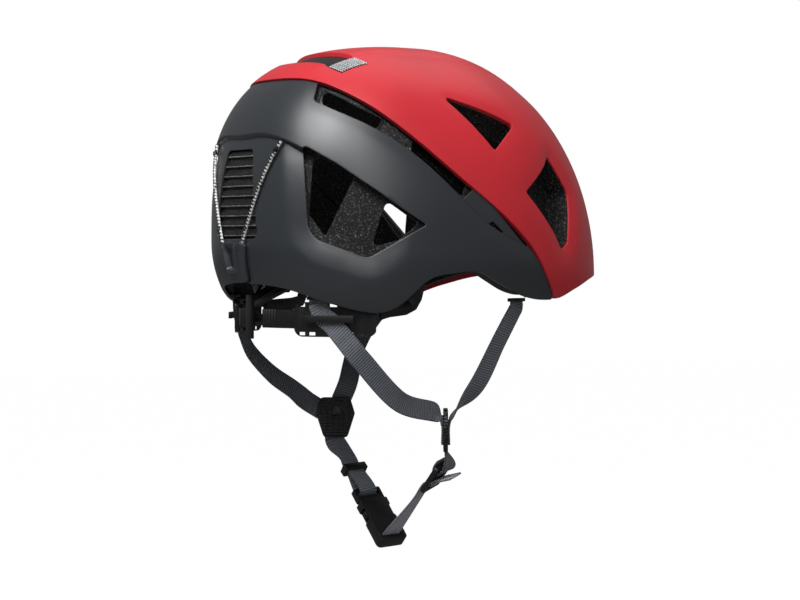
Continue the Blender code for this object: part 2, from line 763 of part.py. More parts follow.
def make_cutters():
    cutters = {}
    for name, side in SIDES:
        cutters["side_vent", side] = prism("cut_side_vent_" + name, VENT_EDGE, SIDE_VENT_PLANE, side)
        for key, corners in (("slot", SLOT), ("foam_hole_rear", FOAM_HOLE_REAR),
                             ("foam_hole_front", FOAM_HOLE_FRONT), ("slot_pocket", SLOT_POCKET)):
            grow = POCKET_FRAME_WALL + FIT_GAP if key == "slot_pocket" else 0.0
            outline = rounded(fitted(corners, SIDE_VENT_PLANE), grow=grow)
            cutters[key, side] = prism(f"cut_{key}_{name}", outline, SIDE_VENT_PLANE, side)
        for key, corners, plane in (("crown_vent", CROWN_SIDE_VENT, CROWN_SIDE_VENT_PLANE),
                                    ("front_vent", FRONT_VENT, FRONT_VENT_PLANE)):
            outline = rounded(fitted(corners, plane))
            cutters[key, side] = prism(f"cut_{key}_{name}", outline, plane, side)
    cutters["crown_slot", 1] = prism("cut_crown_slot", crown_slot_outline(), TOP_PLANE,
                                     inner=CROWN_HEIGHT / 2)
    cutters["window", 1] = prism("cut_window", rounded(window_corners()), REAR_PLANE)
    return cutters


def crown_slot_outline(grow=0.0):
    """Bowed slot across the rear of the crown, drawn from above."""
    count = 8
    corner = stretched(Vector((CROWN_SLOT_HALF, -CROWN_SLOT_REAR, 0)))
    half, rear = corner.x + grow, -corner.y - grow
    front = -stretched(Vector((0, -CROWN_SLOT_FRONT, 0))).y + grow
    run = [-1 + 2 * k / count for k in range(count + 1)]
    edge = [Vector((t * half, front + CROWN_SLOT_BOW * t * t)) for t in run]
    return edge + [Vector((t * half, rear + CROWN_SLOT_BOW * t * t)) for t in reversed(run)]


def window_corners():
    return [(-WINDOW_TOP_HALF, WINDOW_TOP, WINDOW_RADIUS), (-WINDOW_FOOT_HALF, WINDOW_FOOT, WINDOW_RADIUS),
            (WINDOW_FOOT_HALF, WINDOW_FOOT, WINDOW_RADIUS), (WINDOW_TOP_HALF, WINDOW_TOP, WINDOW_RADIUS)]


def cut_both(target, cutters, keys):
    for key in keys:
        for side in (1, -1):
            if (key, side) in cutters:
                boolean(target, cutters[key, side])


def make_shells(look, cutters, meet):
    pole = dome_point(0, math.pi / 2, -SHELL_PROUD)
    upper = open_grid("upper_shell", upper_rows(-SHELL_PROUD), look["red"], True, pole)
    solidify(upper, SHELL_WALL)
    cut_both(upper, cutters, ("crown_vent", "front_vent", "crown_slot"))
    lower = open_grid("lower_shell", lower_rows(0.0, meet), look["grey"])
    solidify(lower, SHELL_WALL)
    cut_both(lower, cutters, ("side_vent", "slot", "window"))


def make_foam(look, cutters, meet):
    near = SHELL_WALL + FIT_GAP
    far = near + FOAM_WALL
    poles = [dome_point(0, math.pi / 2, i) for i in (near, far)]
    front = slab("foam_front", upper_rows(near, True), upper_rows(far, True), look["foam"], True, poles)
    cut_both(front, cutters, ("crown_vent", "front_vent", "slot_pocket"))
    near = SHELL_WALL + FOAM_GAP
    far = near + FOAM_WALL
    rear = slab("foam_rear", lower_rows(near, meet, True), lower_rows(far, meet, True), look["foam"])
    cut_both(rear, cutters, ("foam_hole_rear", "foam_hole_front", "slot_pocket"))


def rear_point(x, z, inset=0.0):
    """Point of the recessed rear panel at a given X and height."""
    theta = 0.0
    for _ in range(8):
        phi = rise_where(theta, lambda y: z)
        p = dome_point(theta, phi, inset + recess(theta, phi))
        theta = math.atan2(-x, p.y)
    return Vector((x, p.y, z))


def rear_patch(name, half, levels, inner, finish, columns):
    """Slab that follows the rear panel, with the outer depth given at each height."""
    across = [half * (2 * c / columns - 1) for c in range(columns + 1)]
    outer_rows = [[rear_point(x, z, depth) for x in across] for z, depth in levels]
    inner_rows = [[rear_point(x, z, inner) for x in across] for z, _ in levels]
    return slab(name, outer_rows, inner_rows, finish)


def even_levels(low, high, depth, rows):
    return [(low + (high - low) * r / rows, depth) for r in range(rows + 1)]


def make_rear_window(look):
    """Panel that fills the window, with ribs across it."""
    back = SHELL_WALL + FOAM_GAP - FIT_GAP
    floor = back - PANEL_WALL
    pitch = (WINDOW_TOP - WINDOW_FOOT) / PANEL_RIBS
    levels = [(WINDOW_FOOT - pitch / 2, floor)]
    for k in range(PANEL_RIBS):
        mid = WINDOW_FOOT + (k + 0.5) * pitch
        for reach, depth in ((-0.5, floor), (-0.3, floor - PANEL_RIB_HEIGHT),
                             (0.3, floor - PANEL_RIB_HEIGHT), (0.5, floor)):
            levels.append((mid + reach * PANEL_RIB_WIDTH, depth))
    levels.append((WINDOW_TOP + pitch / 2, floor))
    panel = rear_patch("rear_rib_panel", WINDOW_FOOT_HALF + WINDOW_RADIUS, levels, back, look["foam"], 6)
    outline = rounded(window_corners(), grow=-2 * FIT_GAP)
    boolean(panel, prism("keep_panel", outline, REAR_PLANE), 'INTERSECT')


def make_tab(look):
    """Pull tab over the foot of the rear panel."""
    corners = [(-TAB_TOP_HALF, TAB_TOP, TAB_TOP_RADIUS), (-TAB_FOOT_HALF, TAB_FOOT, TAB_FOOT_RADIUS),
               (TAB_FOOT_HALF, TAB_FOOT, TAB_FOOT_RADIUS), (TAB_TOP_HALF, TAB_TOP, TAB_TOP_RADIUS)]
    face = -FIT_GAP - TAB_THICK
    margin = TAB_TOP_RADIUS
    tab = rear_patch("bungee_tab", TAB_TOP_HALF + margin,
                     even_levels(TAB_FOOT - margin, TAB_TOP + margin, face, 4), -FIT_GAP, look["grey"], 4)
    boolean(tab, prism("keep_tab", rounded(corners), REAR_PLANE), 'INTERSECT')
    top, foot = TAB_TOP - 2 * CORD_SEAT, TAB_FOOT + SCOOP_RISE
    wide, narrow = TAB_FOOT_HALF * 0.8, TAB_FOOT_HALF * 0.5
    scoop = [(-wide, top, SCOOP_RADIUS), (-narrow, foot, SCOOP_RADIUS),
             (narrow, foot, SCOOP_RADIUS), (wide, top, SCOOP_RADIUS)]
    hollow = rear_patch("cut_tab_scoop", TAB_TOP_HALF, even_levels(TAB_FOOT, TAB_TOP, 2 * face, 4),
                        face + TAB_SCOOP, None, 4)
    boolean(hollow, prism("keep_scoop", rounded(scoop), REAR_PLANE), 'INTERSECT')
    boolean(tab, hollow)
    for name, side in SIDES:
        route = cord_route(side)
        frame = frame_towards(route[-1], route[-1] - route[-2])
        bore = cylinder("cut_cord_bore_" + name, CORD_DIAMETER / 2 + FIT_GAP,
                        2 * CORD_SEAT + 2 * FIT_GAP, frame, None, 10)
        boolean(tab, bore)
    move_origin("bungee_tab", rear_point(0, (TAB_TOP + TAB_FOOT) / 2, face / 2))


def cord_route(side):
    """Points of one strand from its anchor to its seat in the tab, taut over the panel."""
    lift = FIT_GAP + TAB_THICK / 2
    top = Vector((-ANCHOR_X * side, ANCHOR_Z))
    foot = Vector((-CORD_FOOT_X * side, TAB_TOP - CORD_SEAT))
    clear = ANCHOR_RADIUS + CORD_DIAMETER / 2
    start = top + (foot - top).normalized() * clear
    return [rear_point(*start.lerp(foot, k / CORD_STEPS), -lift) for k in range(CORD_STEPS + 1)]


def rear_normal(x, z):
    """Outward direction of the rear panel."""
    step = ANCHOR_RADIUS
    across = rear_point(x + step, z) - rear_point(x - step, z)
    up = rear_point(x, z + step) - rear_point(x, z - step)
    return up.cross(across).normalized()


def make_bungee(look):
    """Two strands of cord, each from a button under the ledge to its seat in the tab."""
    for name, side in SIDES:
        cord = bpy.data.curves.new("bungee_cord_" + name, 'CURVE')
        cord.dimensions = '3D'
        cord.bevel_depth = CORD_DIAMETER / 2
        cord.bevel_resolution = 1
        cord.use_fill_caps = True
        route = cord_route(side)
        spline = cord.splines.new('POLY')
        spline.points.add(len(route) - 1)
        for point, p in zip(spline.points, route):
            point.co = (*p, 1)
        cord.materials.append(look["cord"])
        COLLECTION.objects.link(bpy.data.objects.new(cord.name, cord))
        x = -ANCHOR_X * side
        out = rear_normal(x, ANCHOR_Z)
        seat = rear_point(x, ANCHOR_Z) + out * (ANCHOR_HEIGHT / 2 - FIT_GAP)
        cylinder("bungee_anchor_" + name, ANCHOR_RADIUS, ANCHOR_HEIGHT, frame_towards(seat, out),
                 look["black"], 14)


def dome_patch(name, headings, rises, outer, inner, finish, columns, rows):
    """Slab of the dome between two headings, two rises and two depths."""
    skins = []
    for depth in (outer, inner):
        skins.append([[dome_point(math.radians(headings[0] + (headings[1] - headings[0]) * c / columns),
                                  math.radians(rises[0] + (rises[1] - rises[0]) * r / rows), depth)
                       for c in range(columns + 1)] for r in range(rows + 1)])
    return slab(name, *skins, finish)


def make_shell_fittings(look):
    """Pocket frames and headlamp clips in the side slots, and the mesh in the crown slot."""
    near = SHELL_WALL + FOAM_GAP
    pocket, clip_edge, hook = (fitted(c, SIDE_VENT_PLANE) for c in (SLOT_POCKET, CLIP, CLIP_OPENING))
    for name, side in SIDES:
        headings, rises = FRAME_PATCH
        frame = dome_patch("slot_frame_" + name, [d * side for d in headings], rises, near - 2 * FIT_GAP,
                           near + FOAM_WALL / 2, look["black"], 6, 4)
        boolean(frame, prism("keep_frame_" + name, rounded(pocket, grow=POCKET_FRAME_WALL),
                             SIDE_VENT_PLANE, side), 'INTERSECT')
        boolean(frame, prism("cut_frame_" + name, rounded(pocket), SIDE_VENT_PLANE, side))
        headings, rises = CLIP_PATCH
        clip = dome_patch("headlamp_clip_" + name, [d * side for d in headings], rises, CLIP_DEPTH,
                          CLIP_DEPTH + CLIP_WALL, look["black"], 6, 3)
        boolean(clip, prism("keep_clip_" + name, rounded(clip_edge), SIDE_VENT_PLANE, side), 'INTERSECT')
        boolean(clip, prism("cut_clip_" + name, rounded(hook), SIDE_VENT_PLANE, side))
    mesh = dome_patch("crown_vent_mesh", *MESH_PATCH, -SHELL_PROUD / 3, SHELL_WALL / 2,
                      look["mesh"], 8, 4)
    boolean(mesh, prism("keep_mesh", crown_slot_outline(-2 * FIT_GAP), TOP_PLANE,
                        inner=CROWN_HEIGHT / 2), 'INTERSECT')


# Head cradle

def join(target, *others):
    """Union of like solids into one piece."""
    for other in others:
        for owner in list(other.users_collection):
            owner.objects.unlink(other)
        CUTTERS.objects.link(other)
        other.hide_render = True
        other.display_type = 'WIRE'
        boolean(target, other, 'UNION')


def ring_box(r0, r1, height, drop=0.0):
    """Section of a curved bar between two radii."""
    low, high = drop - height / 2, drop + height / 2
    return [(r0, low), (r1, low), (r1, high), (r0, high)]


def guide_section():
    """C-shaped channel that carries the band, with a tall outer plate."""
    inner = BAND_RADIUS + BAND_WALL / 2 + FIT_GAP
    outer = inner + GUIDE_WALL
    lip = BAND_RADIUS - BAND_WALL / 2 - FIT_GAP
    half, h = GUIDE_HEIGHT / 2, BAND_HEIGHT / 2 + FIT_GAP
    upper = [(outer, half), (inner, half), (inner, h + GUIDE_LIP), (lip - GUIDE_LIP, h + GUIDE_LIP),
             (lip - GUIDE_LIP, h - GUIDE_LIP), (lip, h - GUIDE_LIP), (lip, h), (inner, h)]
    return upper + [(r, -z) for r, z in reversed(upper)], outer


def make_cradle(look):
    middle = Vector((0, CRADLE_Y, CRADLE_Z))
    half = BAND_WALL / 2
    rack_r = BAND_RADIUS - BAND_WALL - 2 * FIT_GAP
    sweep("rear_rack", ring_box(rack_r - half, rack_r + half, RACK_HEIGHT),
          arc_frames(-RACK_END_DEG, RACK_END_DEG, 1, 12), look["black"])
    grip_out = rack_r + half + FIT_GAP + GRIP_WALL
    section, guide_out = guide_section()
    for name, side in SIDES:
        make_grip(name, side, rack_r - half - FIT_GAP, grip_out, look)
        sweep("band_" + name, ring_box(BAND_RADIUS - half, BAND_RADIUS + half, BAND_HEIGHT),
              arc_frames(GRIP_END_DEG + BAND_JOIN_DEG, BAND_END_DEG, side, 10), look["black"])
        for piece in ("band_", "band_grip_"):
            move_origin(piece + name, middle)
        make_guide(name, side, section, guide_out, middle, look)
        make_hanger(name, side, look)
    make_yoke(rack_r + half + FIT_GAP, grip_out, look)


def make_grip(name, side, inner, grip_out, look):
    """Finger grip: a sleeve round the rack with ribs across its back."""
    steps = 4 * GRIP_RIBS
    sections = []
    for k in range(steps + 1):
        rib = GRIP_RIB_HEIGHT if k % 4 in (2, 3) else 0.0
        sections.append(ring_box(inner - GRIP_WALL, grip_out + rib, BAND_HEIGHT))
    grip = sweep("band_grip_" + name, sections, arc_frames(GRIP_START_DEG, GRIP_END_DEG, side, steps),
                 look["black"])
    bore = sweep("cut_grip_" + name, ring_box(inner, grip_out - GRIP_WALL, RACK_HEIGHT + 2 * FIT_GAP),
                 arc_frames(GRIP_START_DEG - 1, GRIP_END_DEG + 1, side, 6), None, CUTTERS)
    boolean(grip, bore)


def make_guide(name, side, section, guide_out, middle, look):
    """Strap guide: band channel with a slotted plate and a loop over the strap."""
    guide = sweep("strap_guide_" + name, section, arc_frames(GUIDE_START_DEG, GUIDE_END_DEG, side, 8),
                  look["black"])
    for k, deg in enumerate(GUIDE_SLOTS_DEG):
        a = math.radians(deg)
        out = Vector((-math.sin(a) * side, math.cos(a), 0))
        for end in (1, -1):
            drop = Vector((0, 0, end * (GUIDE_HEIGHT + BAND_HEIGHT + 2 * GUIDE_LIP) / 4))
            frame = frame_at(middle + out * guide_out + drop, out, Vector((0, 0, 1)))
            size = (4 * GUIDE_WALL, GUIDE_SLOT_HEIGHT, GUIDE_SLOT_LENGTH)
            boolean(guide, box(f"cut_guide_{name}_{k}_{end}", size, frame))
    make_strap_loop(name, side, guide, guide_out, look)


def make_strap_loop(name, side, guide, guide_out, look):
    """Bar on two posts that holds the rear strap against the guide."""
    under = guide_out + WEB_WALL + 4 * FIT_GAP
    bar = sweep("loop_bar_" + name, ring_box(under, under + LOOP_WALL, LOOP_BAR, LOOP_DROP),
                arc_frames(LOOP_START_DEG, LOOP_END_DEG, side, 5), look["black"])
    section = ring_box(guide_out - GUIDE_WALL / 2, under + LOOP_WALL / 2, LOOP_BAR * 0.9, LOOP_DROP)
    starts = (LOOP_START_DEG + LOOP_EDGE_DEG, LOOP_END_DEG - LOOP_POST_DEG - LOOP_EDGE_DEG)
    posts = [sweep(f"loop_post_{name}_{k}", section, arc_frames(a, a + LOOP_POST_DEG, side, 1), look["black"])
             for k, a in enumerate(starts)]
    join(guide, posts[0], posts[1], bar)


def inner_point(theta_deg, z, depth):
    """Point inside the rear foam at a heading and height, a depth in from its inner face."""
    theta = math.radians(theta_deg)
    phi = rise_where(theta, lambda y: z)
    inset = SHELL_WALL + FOAM_GAP + FOAM_WALL + recess(theta, phi) + depth
    p = dome_point(theta, phi, inset)
    return Vector((p.x, p.y, z))


def cradle_point(deg, radius, z, side):
    a = math.radians(deg)
    return Vector((-math.sin(a) * radius * side, CRADLE_Y + math.cos(a) * radius, z))


def make_hanger(name, side, look):
    """Strip that carries the guide's front end from the inside of the foam."""
    depth = PAD_GAP + HANGER_WALL / 2
    foot = cradle_point(GUIDE_END_DEG + HANGER_GAP_DEG, BAND_RADIUS, CRADLE_Z + HANGER_LIFT, side)
    bend = cradle_point(GUIDE_END_DEG + HANGER_BEND_DEG, BAND_RADIUS, CRADLE_Z + 1.5 * HANGER_LIFT, side)
    rise = ((HANGER_LEAN_DEG, -2 * HANGER_LIFT), (0, HANGER_TOP / 3), (0, HANGER_TOP))
    route = [foot, bend] + [inner_point((HANGER_DEG - turn) * side, z, depth) for turn, z in rise]
    path = smooth_path(route, 3)
    frames = ribbon_frames(path, [Vector((p.x, p.y, 0)) for p in path])
    sweep("side_hanger_" + name, rectangle(HANGER_WIDTH, HANGER_WALL), frames, look["black"])
    seat = route[-1] - Vector((0, 0, HANGER_WIDTH / 2))
    inward = -Vector((seat.x, seat.y, 0)).normalized()
    seat += inward * (HANGER_WALL / 2 + PIN_HEIGHT / 2 + 2 * FIT_GAP)
    cylinder("hanger_pin_" + name, PIN_RADIUS, PIN_HEIGHT, frame_towards(seat, inward), look["black"], 14)


def make_yoke(block_r, grip_out, look):
    """Rear stem with two pairs of legs that rise to the inside of the foam."""
    stem_r = grip_out + GRIP_RIB_HEIGHT + 2 * FIT_GAP + YOKE_WALL / 2
    stem_y = CRADLE_Y + stem_r
    rear = Vector((0, 1, 0))
    stem_path = [Vector((0, stem_y, z)) for z in (YOKE_FOOT, YOKE_CROTCH + YOKE_LEG)]
    stem = sweep("cradle_yoke", rectangle(YOKE_WIDTH, YOKE_WALL), ribbon_frames(stem_path, [rear] * 2),
                 look["black"])
    block = sweep("yoke_block", ring_box(block_r, stem_r, RACK_HEIGHT),
                  arc_frames(-YOKE_BLOCK_DEG, YOKE_BLOCK_DEG, 1, 1), look["black"])
    legs = []
    for k, spread in enumerate((YOKE_INNER_SPREAD, YOKE_OUTER_SPREAD)):
        theta = math.degrees(math.asin(spread / REAR_LENGTH))
        rise = [inner_point(theta, z, PAD_GAP + YOKE_WALL / 2)
                for z in (YOKE_TOP - k * YOKE_LEG, YOKE_TOP / 2, YOKE_KNEE)]
        crotch = Vector((0, stem_y, YOKE_CROTCH - k * YOKE_LEG))
        path = rise + [crotch] + [Vector((-p.x, p.y, p.z)) for p in reversed(rise)]
        legs.append(sweep(f"yoke_legs_{k}", rectangle(YOKE_LEG, YOKE_WALL * (0.9 - 0.1 * k)),
                          ribbon_frames(path, [rear] * len(path)), look["black"]))
    join(stem, block, *legs)


# Chin strap harness

def strap(name, stations, look):
    """Flat webbing through points, each with the way its face looks there."""
    path = smooth_path([p for p, _ in stations], WEB_STEPS)
    faces = smooth_path([f.normalized() for _, f in stations], WEB_STEPS)
    return sweep(name, rectangle(WEB_WIDTH, WEB_WALL), ribbon_frames(path, faces), look["web"])


def divider_ends(name, rear):
    """Where a side strap ends behind its divider: two points and the face there."""
    middle, face = (Vector(v) for v in DIVIDERS[name])
    rest = DIVIDER_WALL / 2 + FIT_GAP + WEB_WALL / 2
    lift = DIVIDER_HEIGHT / 3
    if name == "right":
        out = face if rear else -face
        points = [middle + out * (rest + WEB_WIDTH / 3) + UP * lift, middle + out * rest - UP * lift / 3]
    else:
        back = face.cross(UP)
        shift = DIVIDER_WIDTH / 3 if rear else -DIVIDER_WIDTH / 7
        rise = lift / 2 if rear else lift * 1.25
        end = middle - face * rest + back * shift + UP * rise
        run = back * 0.8 + UP * 0.5 if rear else UP - back * 0.4
        points = [end - face * WEB_WALL + run * WEB_WIDTH, end]
    return points, -face


def hung(points):
    """Points of a hanging strap, the first of them kept under its place on the dome."""
    first = stretched(Vector(points[0]))
    first.z = points[0][2]
    return [first] + [Vector(p) for p in points[1:]]


def front_anchor(side):
    """Middle of the block that a front strap hangs from, under the middle of the foam's wall."""
    theta = math.radians(FRONT_ANCHOR_DEG) * side
    phi = rise_where(theta, lambda y: FRONT_ANCHOR_Z)
    return dome_point(theta, phi, SHELL_WALL + FOAM_GAP + FOAM_WALL / 2)


def make_side_straps(look):
    """Rear and front straps of each side, with the blocks they hang from."""
    guide_out = guide_section()[1]
    radius = guide_out + STRAP_CLEAR + WEB_WALL / 2
    under = [UP * (ANCHOR_BLOCK[2] / 2 + FIT_GAP + k * STRAP_DROP) for k in range(3)]
    for name, side in SIDES:
        rear_seat = cradle_point(REAR_ANCHOR_DEG, radius, REAR_ANCHOR_Z, side)
        front_seat = front_anchor(side)
        route = [rear_seat - drop for drop in under]
        route += [cradle_point(deg, radius, z, side) for deg, z in REAR_STRAP_ARC]
        route += hung(REAR_HANG[name])
        stations = [(p, Vector((p.x, p.y - CRADLE_Y, 0))) for p in route]
        ends, face = divider_ends(name, True)
        strap("rear_strap_" + name, stations + [(p, face) for p in ends], look)
        route = [front_seat - drop for drop in under]
        hang = hung(FRONT_HANG[name])
        route += [route[-1].lerp(hang[0], STRAP_LEAD_SHARE)] + hang
        stations = [(p, Vector((p.x, p.y, 0))) for p in route]
        ends, face = divider_ends(name, False)
        strap("front_strap_" + name, stations + [(p, face) for p in ends], look)
        for key, seat, axis_y in (("rear", rear_seat, CRADLE_Y), ("front", front_seat, 0.0)):
            out = Vector((seat.x, seat.y - axis_y, 0))
            frame = frame_at(seat, UP.cross(out), out)
            box(f"strap_anchor_{key}_{name}", ANCHOR_BLOCK, frame, look["black"])


def make_dividers(look):
    """Shield-shaped plates that gather the side straps, each with a three-cornered window."""
    top, foot = DIVIDER_WIDTH / 2, DIVIDER_FOOT_WIDTH / 2
    half = DIVIDER_HEIGHT / 2
    shape = [(foot, -half), (top, DIVIDER_CHEEK), (DIVIDER_TOP_HALF, half)]
    shape = [(-x, y) for x, y in shape] + list(reversed(shape))
    outline = rounded([(x, y, DIVIDER_RADIUS) for x, y in shape])
    w, sill = DIVIDER_WINDOW / 2, DIVIDER_CHEEK / 2
    window = rounded([(-w, sill, DIVIDER_WINDOW_RADIUS), (w * 1.4, sill + w * 0.4, DIVIDER_WINDOW_RADIUS),
                      (w * 0.2, sill + 2 * w, DIVIDER_WINDOW_RADIUS)])
    up = Vector((0, 0, 1))
    for name, _ in SIDES:
        middle, face = (Vector(v) for v in DIVIDERS[name])
        plate("strap_divider_" + name, outline, DIVIDER_WALL, set_axes(middle, up.cross(face), up),
              look["black"], [window])


def buckle_axes():
    bar, end = Vector(BUCKLE_BAR), Vector(BUCKLE_END)
    return set_axes(bar, end - bar, Vector((0, 1, 0))), (end - bar).length


def prong_pivot():
    return BAR_WIDTH / 2 + BAR_SLOT + SHOULDER + FIT_GAP


def mirrored(half):
    """Closed outline from the corners on one side of the middle line."""
    return half + [(x, -y, r) for x, y, r in reversed(half)]


def make_buckle(look):
    """Side-release buckle: male with its bar, two sprung prongs and the female housing."""
    frame, length = buckle_axes()
    half, bar, inner = BUCKLE_WIDTH / 2, BAR_WIDTH / 2, BUCKLE_WIDTH / 2 - BAR_POST
    root = bar + BAR_SLOT + SHOULDER
    tip, t = root + TONGUE_LENGTH, TONGUE_WIDTH / 2
    side = [(-bar, half, bar), (root, half, BUCKLE_RADIUS), (root, t, 0), (tip, t, t / 2)]
    outline = rounded(mirrored(side))
    hole = rounded(mirrored([(bar, inner, PRONG_RADIUS), (bar + BAR_SLOT, inner, PRONG_RADIUS)]))
    plate("buckle_male", outline, MALE_THICK, frame, look["black"], [hole])
    start = prong_pivot()
    low, high = PRONG_INSET - PRONG_WIDTH / 2, PRONG_INSET + PRONG_WIDTH / 2
    catch, end = start + PRONG_BUMP_START, start + PRONG_LENGTH
    peak = high + PRONG_BUMP
    arm = rounded([(start, low, 0), (end, low, PRONG_RADIUS), (end, high, PRONG_RADIUS),
                   (end - PRONG_BUMP, peak, 2 * BUCKLE_RADIUS), (catch + PRONG_BUMP / 4, peak, BUCKLE_RADIUS),
                   (catch, high, PRONG_RADIUS / 2), (start, high, 0)])
    for name, side in (("left", 1), ("right", -1)):
        plate("buckle_prong_" + name, [(p.x, p.y * side) for p in arm], MALE_THICK, frame, look["black"])
        move_origin("buckle_prong_" + name, frame @ Vector((start, PRONG_INSET * side, 0)))
    make_female(frame, length, start, catch, end, look)


def make_female(frame, length, start, catch, end, look):
    half = BUCKLE_WIDTH / 2
    waist = half - BUCKLE_WAIST
    side = [(start, half), (catch - WINDOW_MARGIN, half), (catch, waist), (end, waist),
            (end + 2 * WINDOW_MARGIN, half)]
    side = [(x, y, BUCKLE_RADIUS) for x, y in side] + [(length, half, BUCKLE_END_RADIUS)]
    outline = rounded(mirrored(side))
    gap, slot = WEB_WIDTH / 2 + STRAP_CLEAR, length - END_BAR
    hole = [(slot - END_SLOT, -gap), (slot, -gap), (slot, gap), (slot - END_SLOT, gap)]
    female = plate("buckle_female", outline, BUCKLE_THICK, frame, look["black"], [hole])
    middle = start + (CAVITY_LENGTH - CAVITY_MOUTH) / 2
    room = box("cut_buckle_cavity", (CAVITY_LENGTH + CAVITY_MOUTH, CAVITY_WIDTH, CAVITY_HEIGHT),
               frame @ Matrix.Translation((middle, 0, 0)))
    boolean(female, room)
    window = end - catch + 2 * WINDOW_MARGIN
    boolean(female, box("cut_buckle_windows", (window, 2 * BUCKLE_WIDTH, CAVITY_HEIGHT),
                        frame @ Matrix.Translation(((catch + end) / 2, 0, 0))))


def make_left_chin_strap(look):
    """Webbing from the left divider round the buckle's bar and back up to the keeper."""
    frame, _ = buckle_axes()
    middle, face = (Vector(v) for v in DIVIDERS["left"])
    top = middle - Vector((0, 0, DIVIDER_HEIGHT / 2 + 2 * STRAP_CLEAR))
    a, h = frame.col[0].to_3d(), frame.col[2].to_3d()
    apart = (WEB_WALL + LAYER_GAP) / 2
    wrap = MALE_THICK / 2 + STRAP_CLEAR + WEB_WALL / 2
    turn = BAR_WIDTH / 2 + BAR_SLOT / 2
    keep = frame @ Vector((-KEEPER_BACK, 0, apart))
    run = (top - keep).normalized()
    over = (h - run * h.dot(run)).normalized()
    drop = top - Vector((0, 0, WEB_WIDTH / 2))
    stations = [(top, -face), (drop, -face), (keep + run * KEEPER_BACK * 0.6, over),
                (keep + run * KEEPER_BACK * 0.3, over), (keep, over)]
    outer = [(-0.75 * KEEPER_BACK, apart * 1.2, h), (-0.4 * KEEPER_BACK, wrap * 0.8, h),
             (-BAR_WIDTH * 1.6, wrap, h), (BAR_WIDTH / 2, wrap, h), (turn * 0.85, wrap * 0.62, h + a)]
    back = [(x, -z, d - 2 * h * d.dot(h)) for x, z, d in reversed(outer)]
    for x, z, looks in outer + [(turn, 0.0, a)] + back:
        stations.append((frame @ Vector((x, 0, z)), looks))
    stations.append((frame @ Vector((-KEEPER_BACK, 0, -apart)), -over))
    strap("chin_strap_left", stations, look)
    room_w, room_h = WEB_WIDTH + 2 * STRAP_CLEAR, 2 * WEB_WALL + LAYER_GAP + 2 * STRAP_CLEAR
    place = keep - h * apart
    rim = [rectangle(room_w + k, room_h + k) for k in (2 * KEEPER_WALL, 0.0)]
    plate("strap_keeper", rim[0], KEEPER_LENGTH, frame_at(place, frame.col[1].to_3d(), over),
          look["black"], [rim[1]])


def make_right_chin_strap(look):
    """Webbing from the female end up through the adjuster, and from the adjuster to the divider."""
    frame, length = buckle_axes()
    a = frame.col[0].to_3d()
    slot = length - END_BAR - END_SLOT / 2
    place = Vector(ADJUSTER)
    lock = set_axes(place, place - Vector(BUCKLE_END), Vector(ADJUSTER_ACROSS))
    q, s = lock.col[2].to_3d(), lock.col[0].to_3d()
    half, bar = ADJUSTER_LENGTH / 2, ADJUSTER_BAR
    over = ADJUSTER_WALL / 2 + STRAP_CLEAR + WEB_WALL / 2
    mid = half / 2 - bar / 4
    tail = q - s * 0.6
    stations = [(frame @ Vector((slot, 0, BUCKLE_THICK / 4)), a),
                (frame @ Vector((slot, 0, -BUCKLE_THICK * 0.6)), a),
                (lock @ Vector((-2.2 * half, 0, -over)), q), (lock @ Vector((-half, 0, -over)), q),
                (lock @ Vector((-mid - bar * 0.4, 0, -over * 0.8)), q - s),
                (lock @ Vector((-mid, 0, 0)), -s), (lock @ Vector((-mid + bar * 0.4, 0, over * 0.8)), q - s),
                (lock @ Vector((0, 0, over + WEB_WALL / 4)), q),
                (lock @ Vector((half * 0.5, 0, 2.4 * over)), tail),
                (lock @ Vector((half * 0.95, 0, 3.6 * over)), tail)]
    strap("chin_strap_right", stations, look)
    w, post = ADJUSTER_WIDTH / 2, WEB_WIDTH / 2 + STRAP_CLEAR
    outline = rounded(mirrored([(-half, w, ADJUSTER_RADIUS), (half, w, ADJUSTER_RADIUS)]))
    near, far = bar / 2, half - bar
    holes = [[(k * near, -post), (k * far, -post), (k * far, post), (k * near, post)] for k in (-1, 1)]
    plate("strap_adjuster", outline, ADJUSTER_WALL, lock, look["black"], holes)
    make_adjuster_web(lock, half, bar, over, look)


def make_adjuster_web(lock, half, bar, over, look):
    """Webbing from the right divider down round the adjuster's upper bar."""
    middle, face = (Vector(v) for v in DIVIDERS["right"])
    q, s = lock.col[2].to_3d(), lock.col[0].to_3d()
    top = middle - Vector((0, 0, DIVIDER_HEIGHT / 2 + 2 * STRAP_CLEAR))
    turn = half - bar - (half - 1.5 * bar) * 0.45
    drop = top - Vector((0, 0, WEB_WIDTH * 0.4))
    stations = [(top, -face), (drop, -face)]
    loop = [(half * 1.05, over * 1.3, q), (half - bar * 0.9, over, q),
            (turn + bar * 0.15, over * 0.6, q - s), (turn, 0.0, -s),
            (turn + bar * 0.15, -over * 0.6, -q - s), (half - bar * 0.9, -over, -q), (half * 1.2, -over, -q)]
    stations += [(lock @ Vector((x, 0, z)), looks) for x, z, looks in loop]
    strap("adjuster_web", stations, look)


# Comfort pads

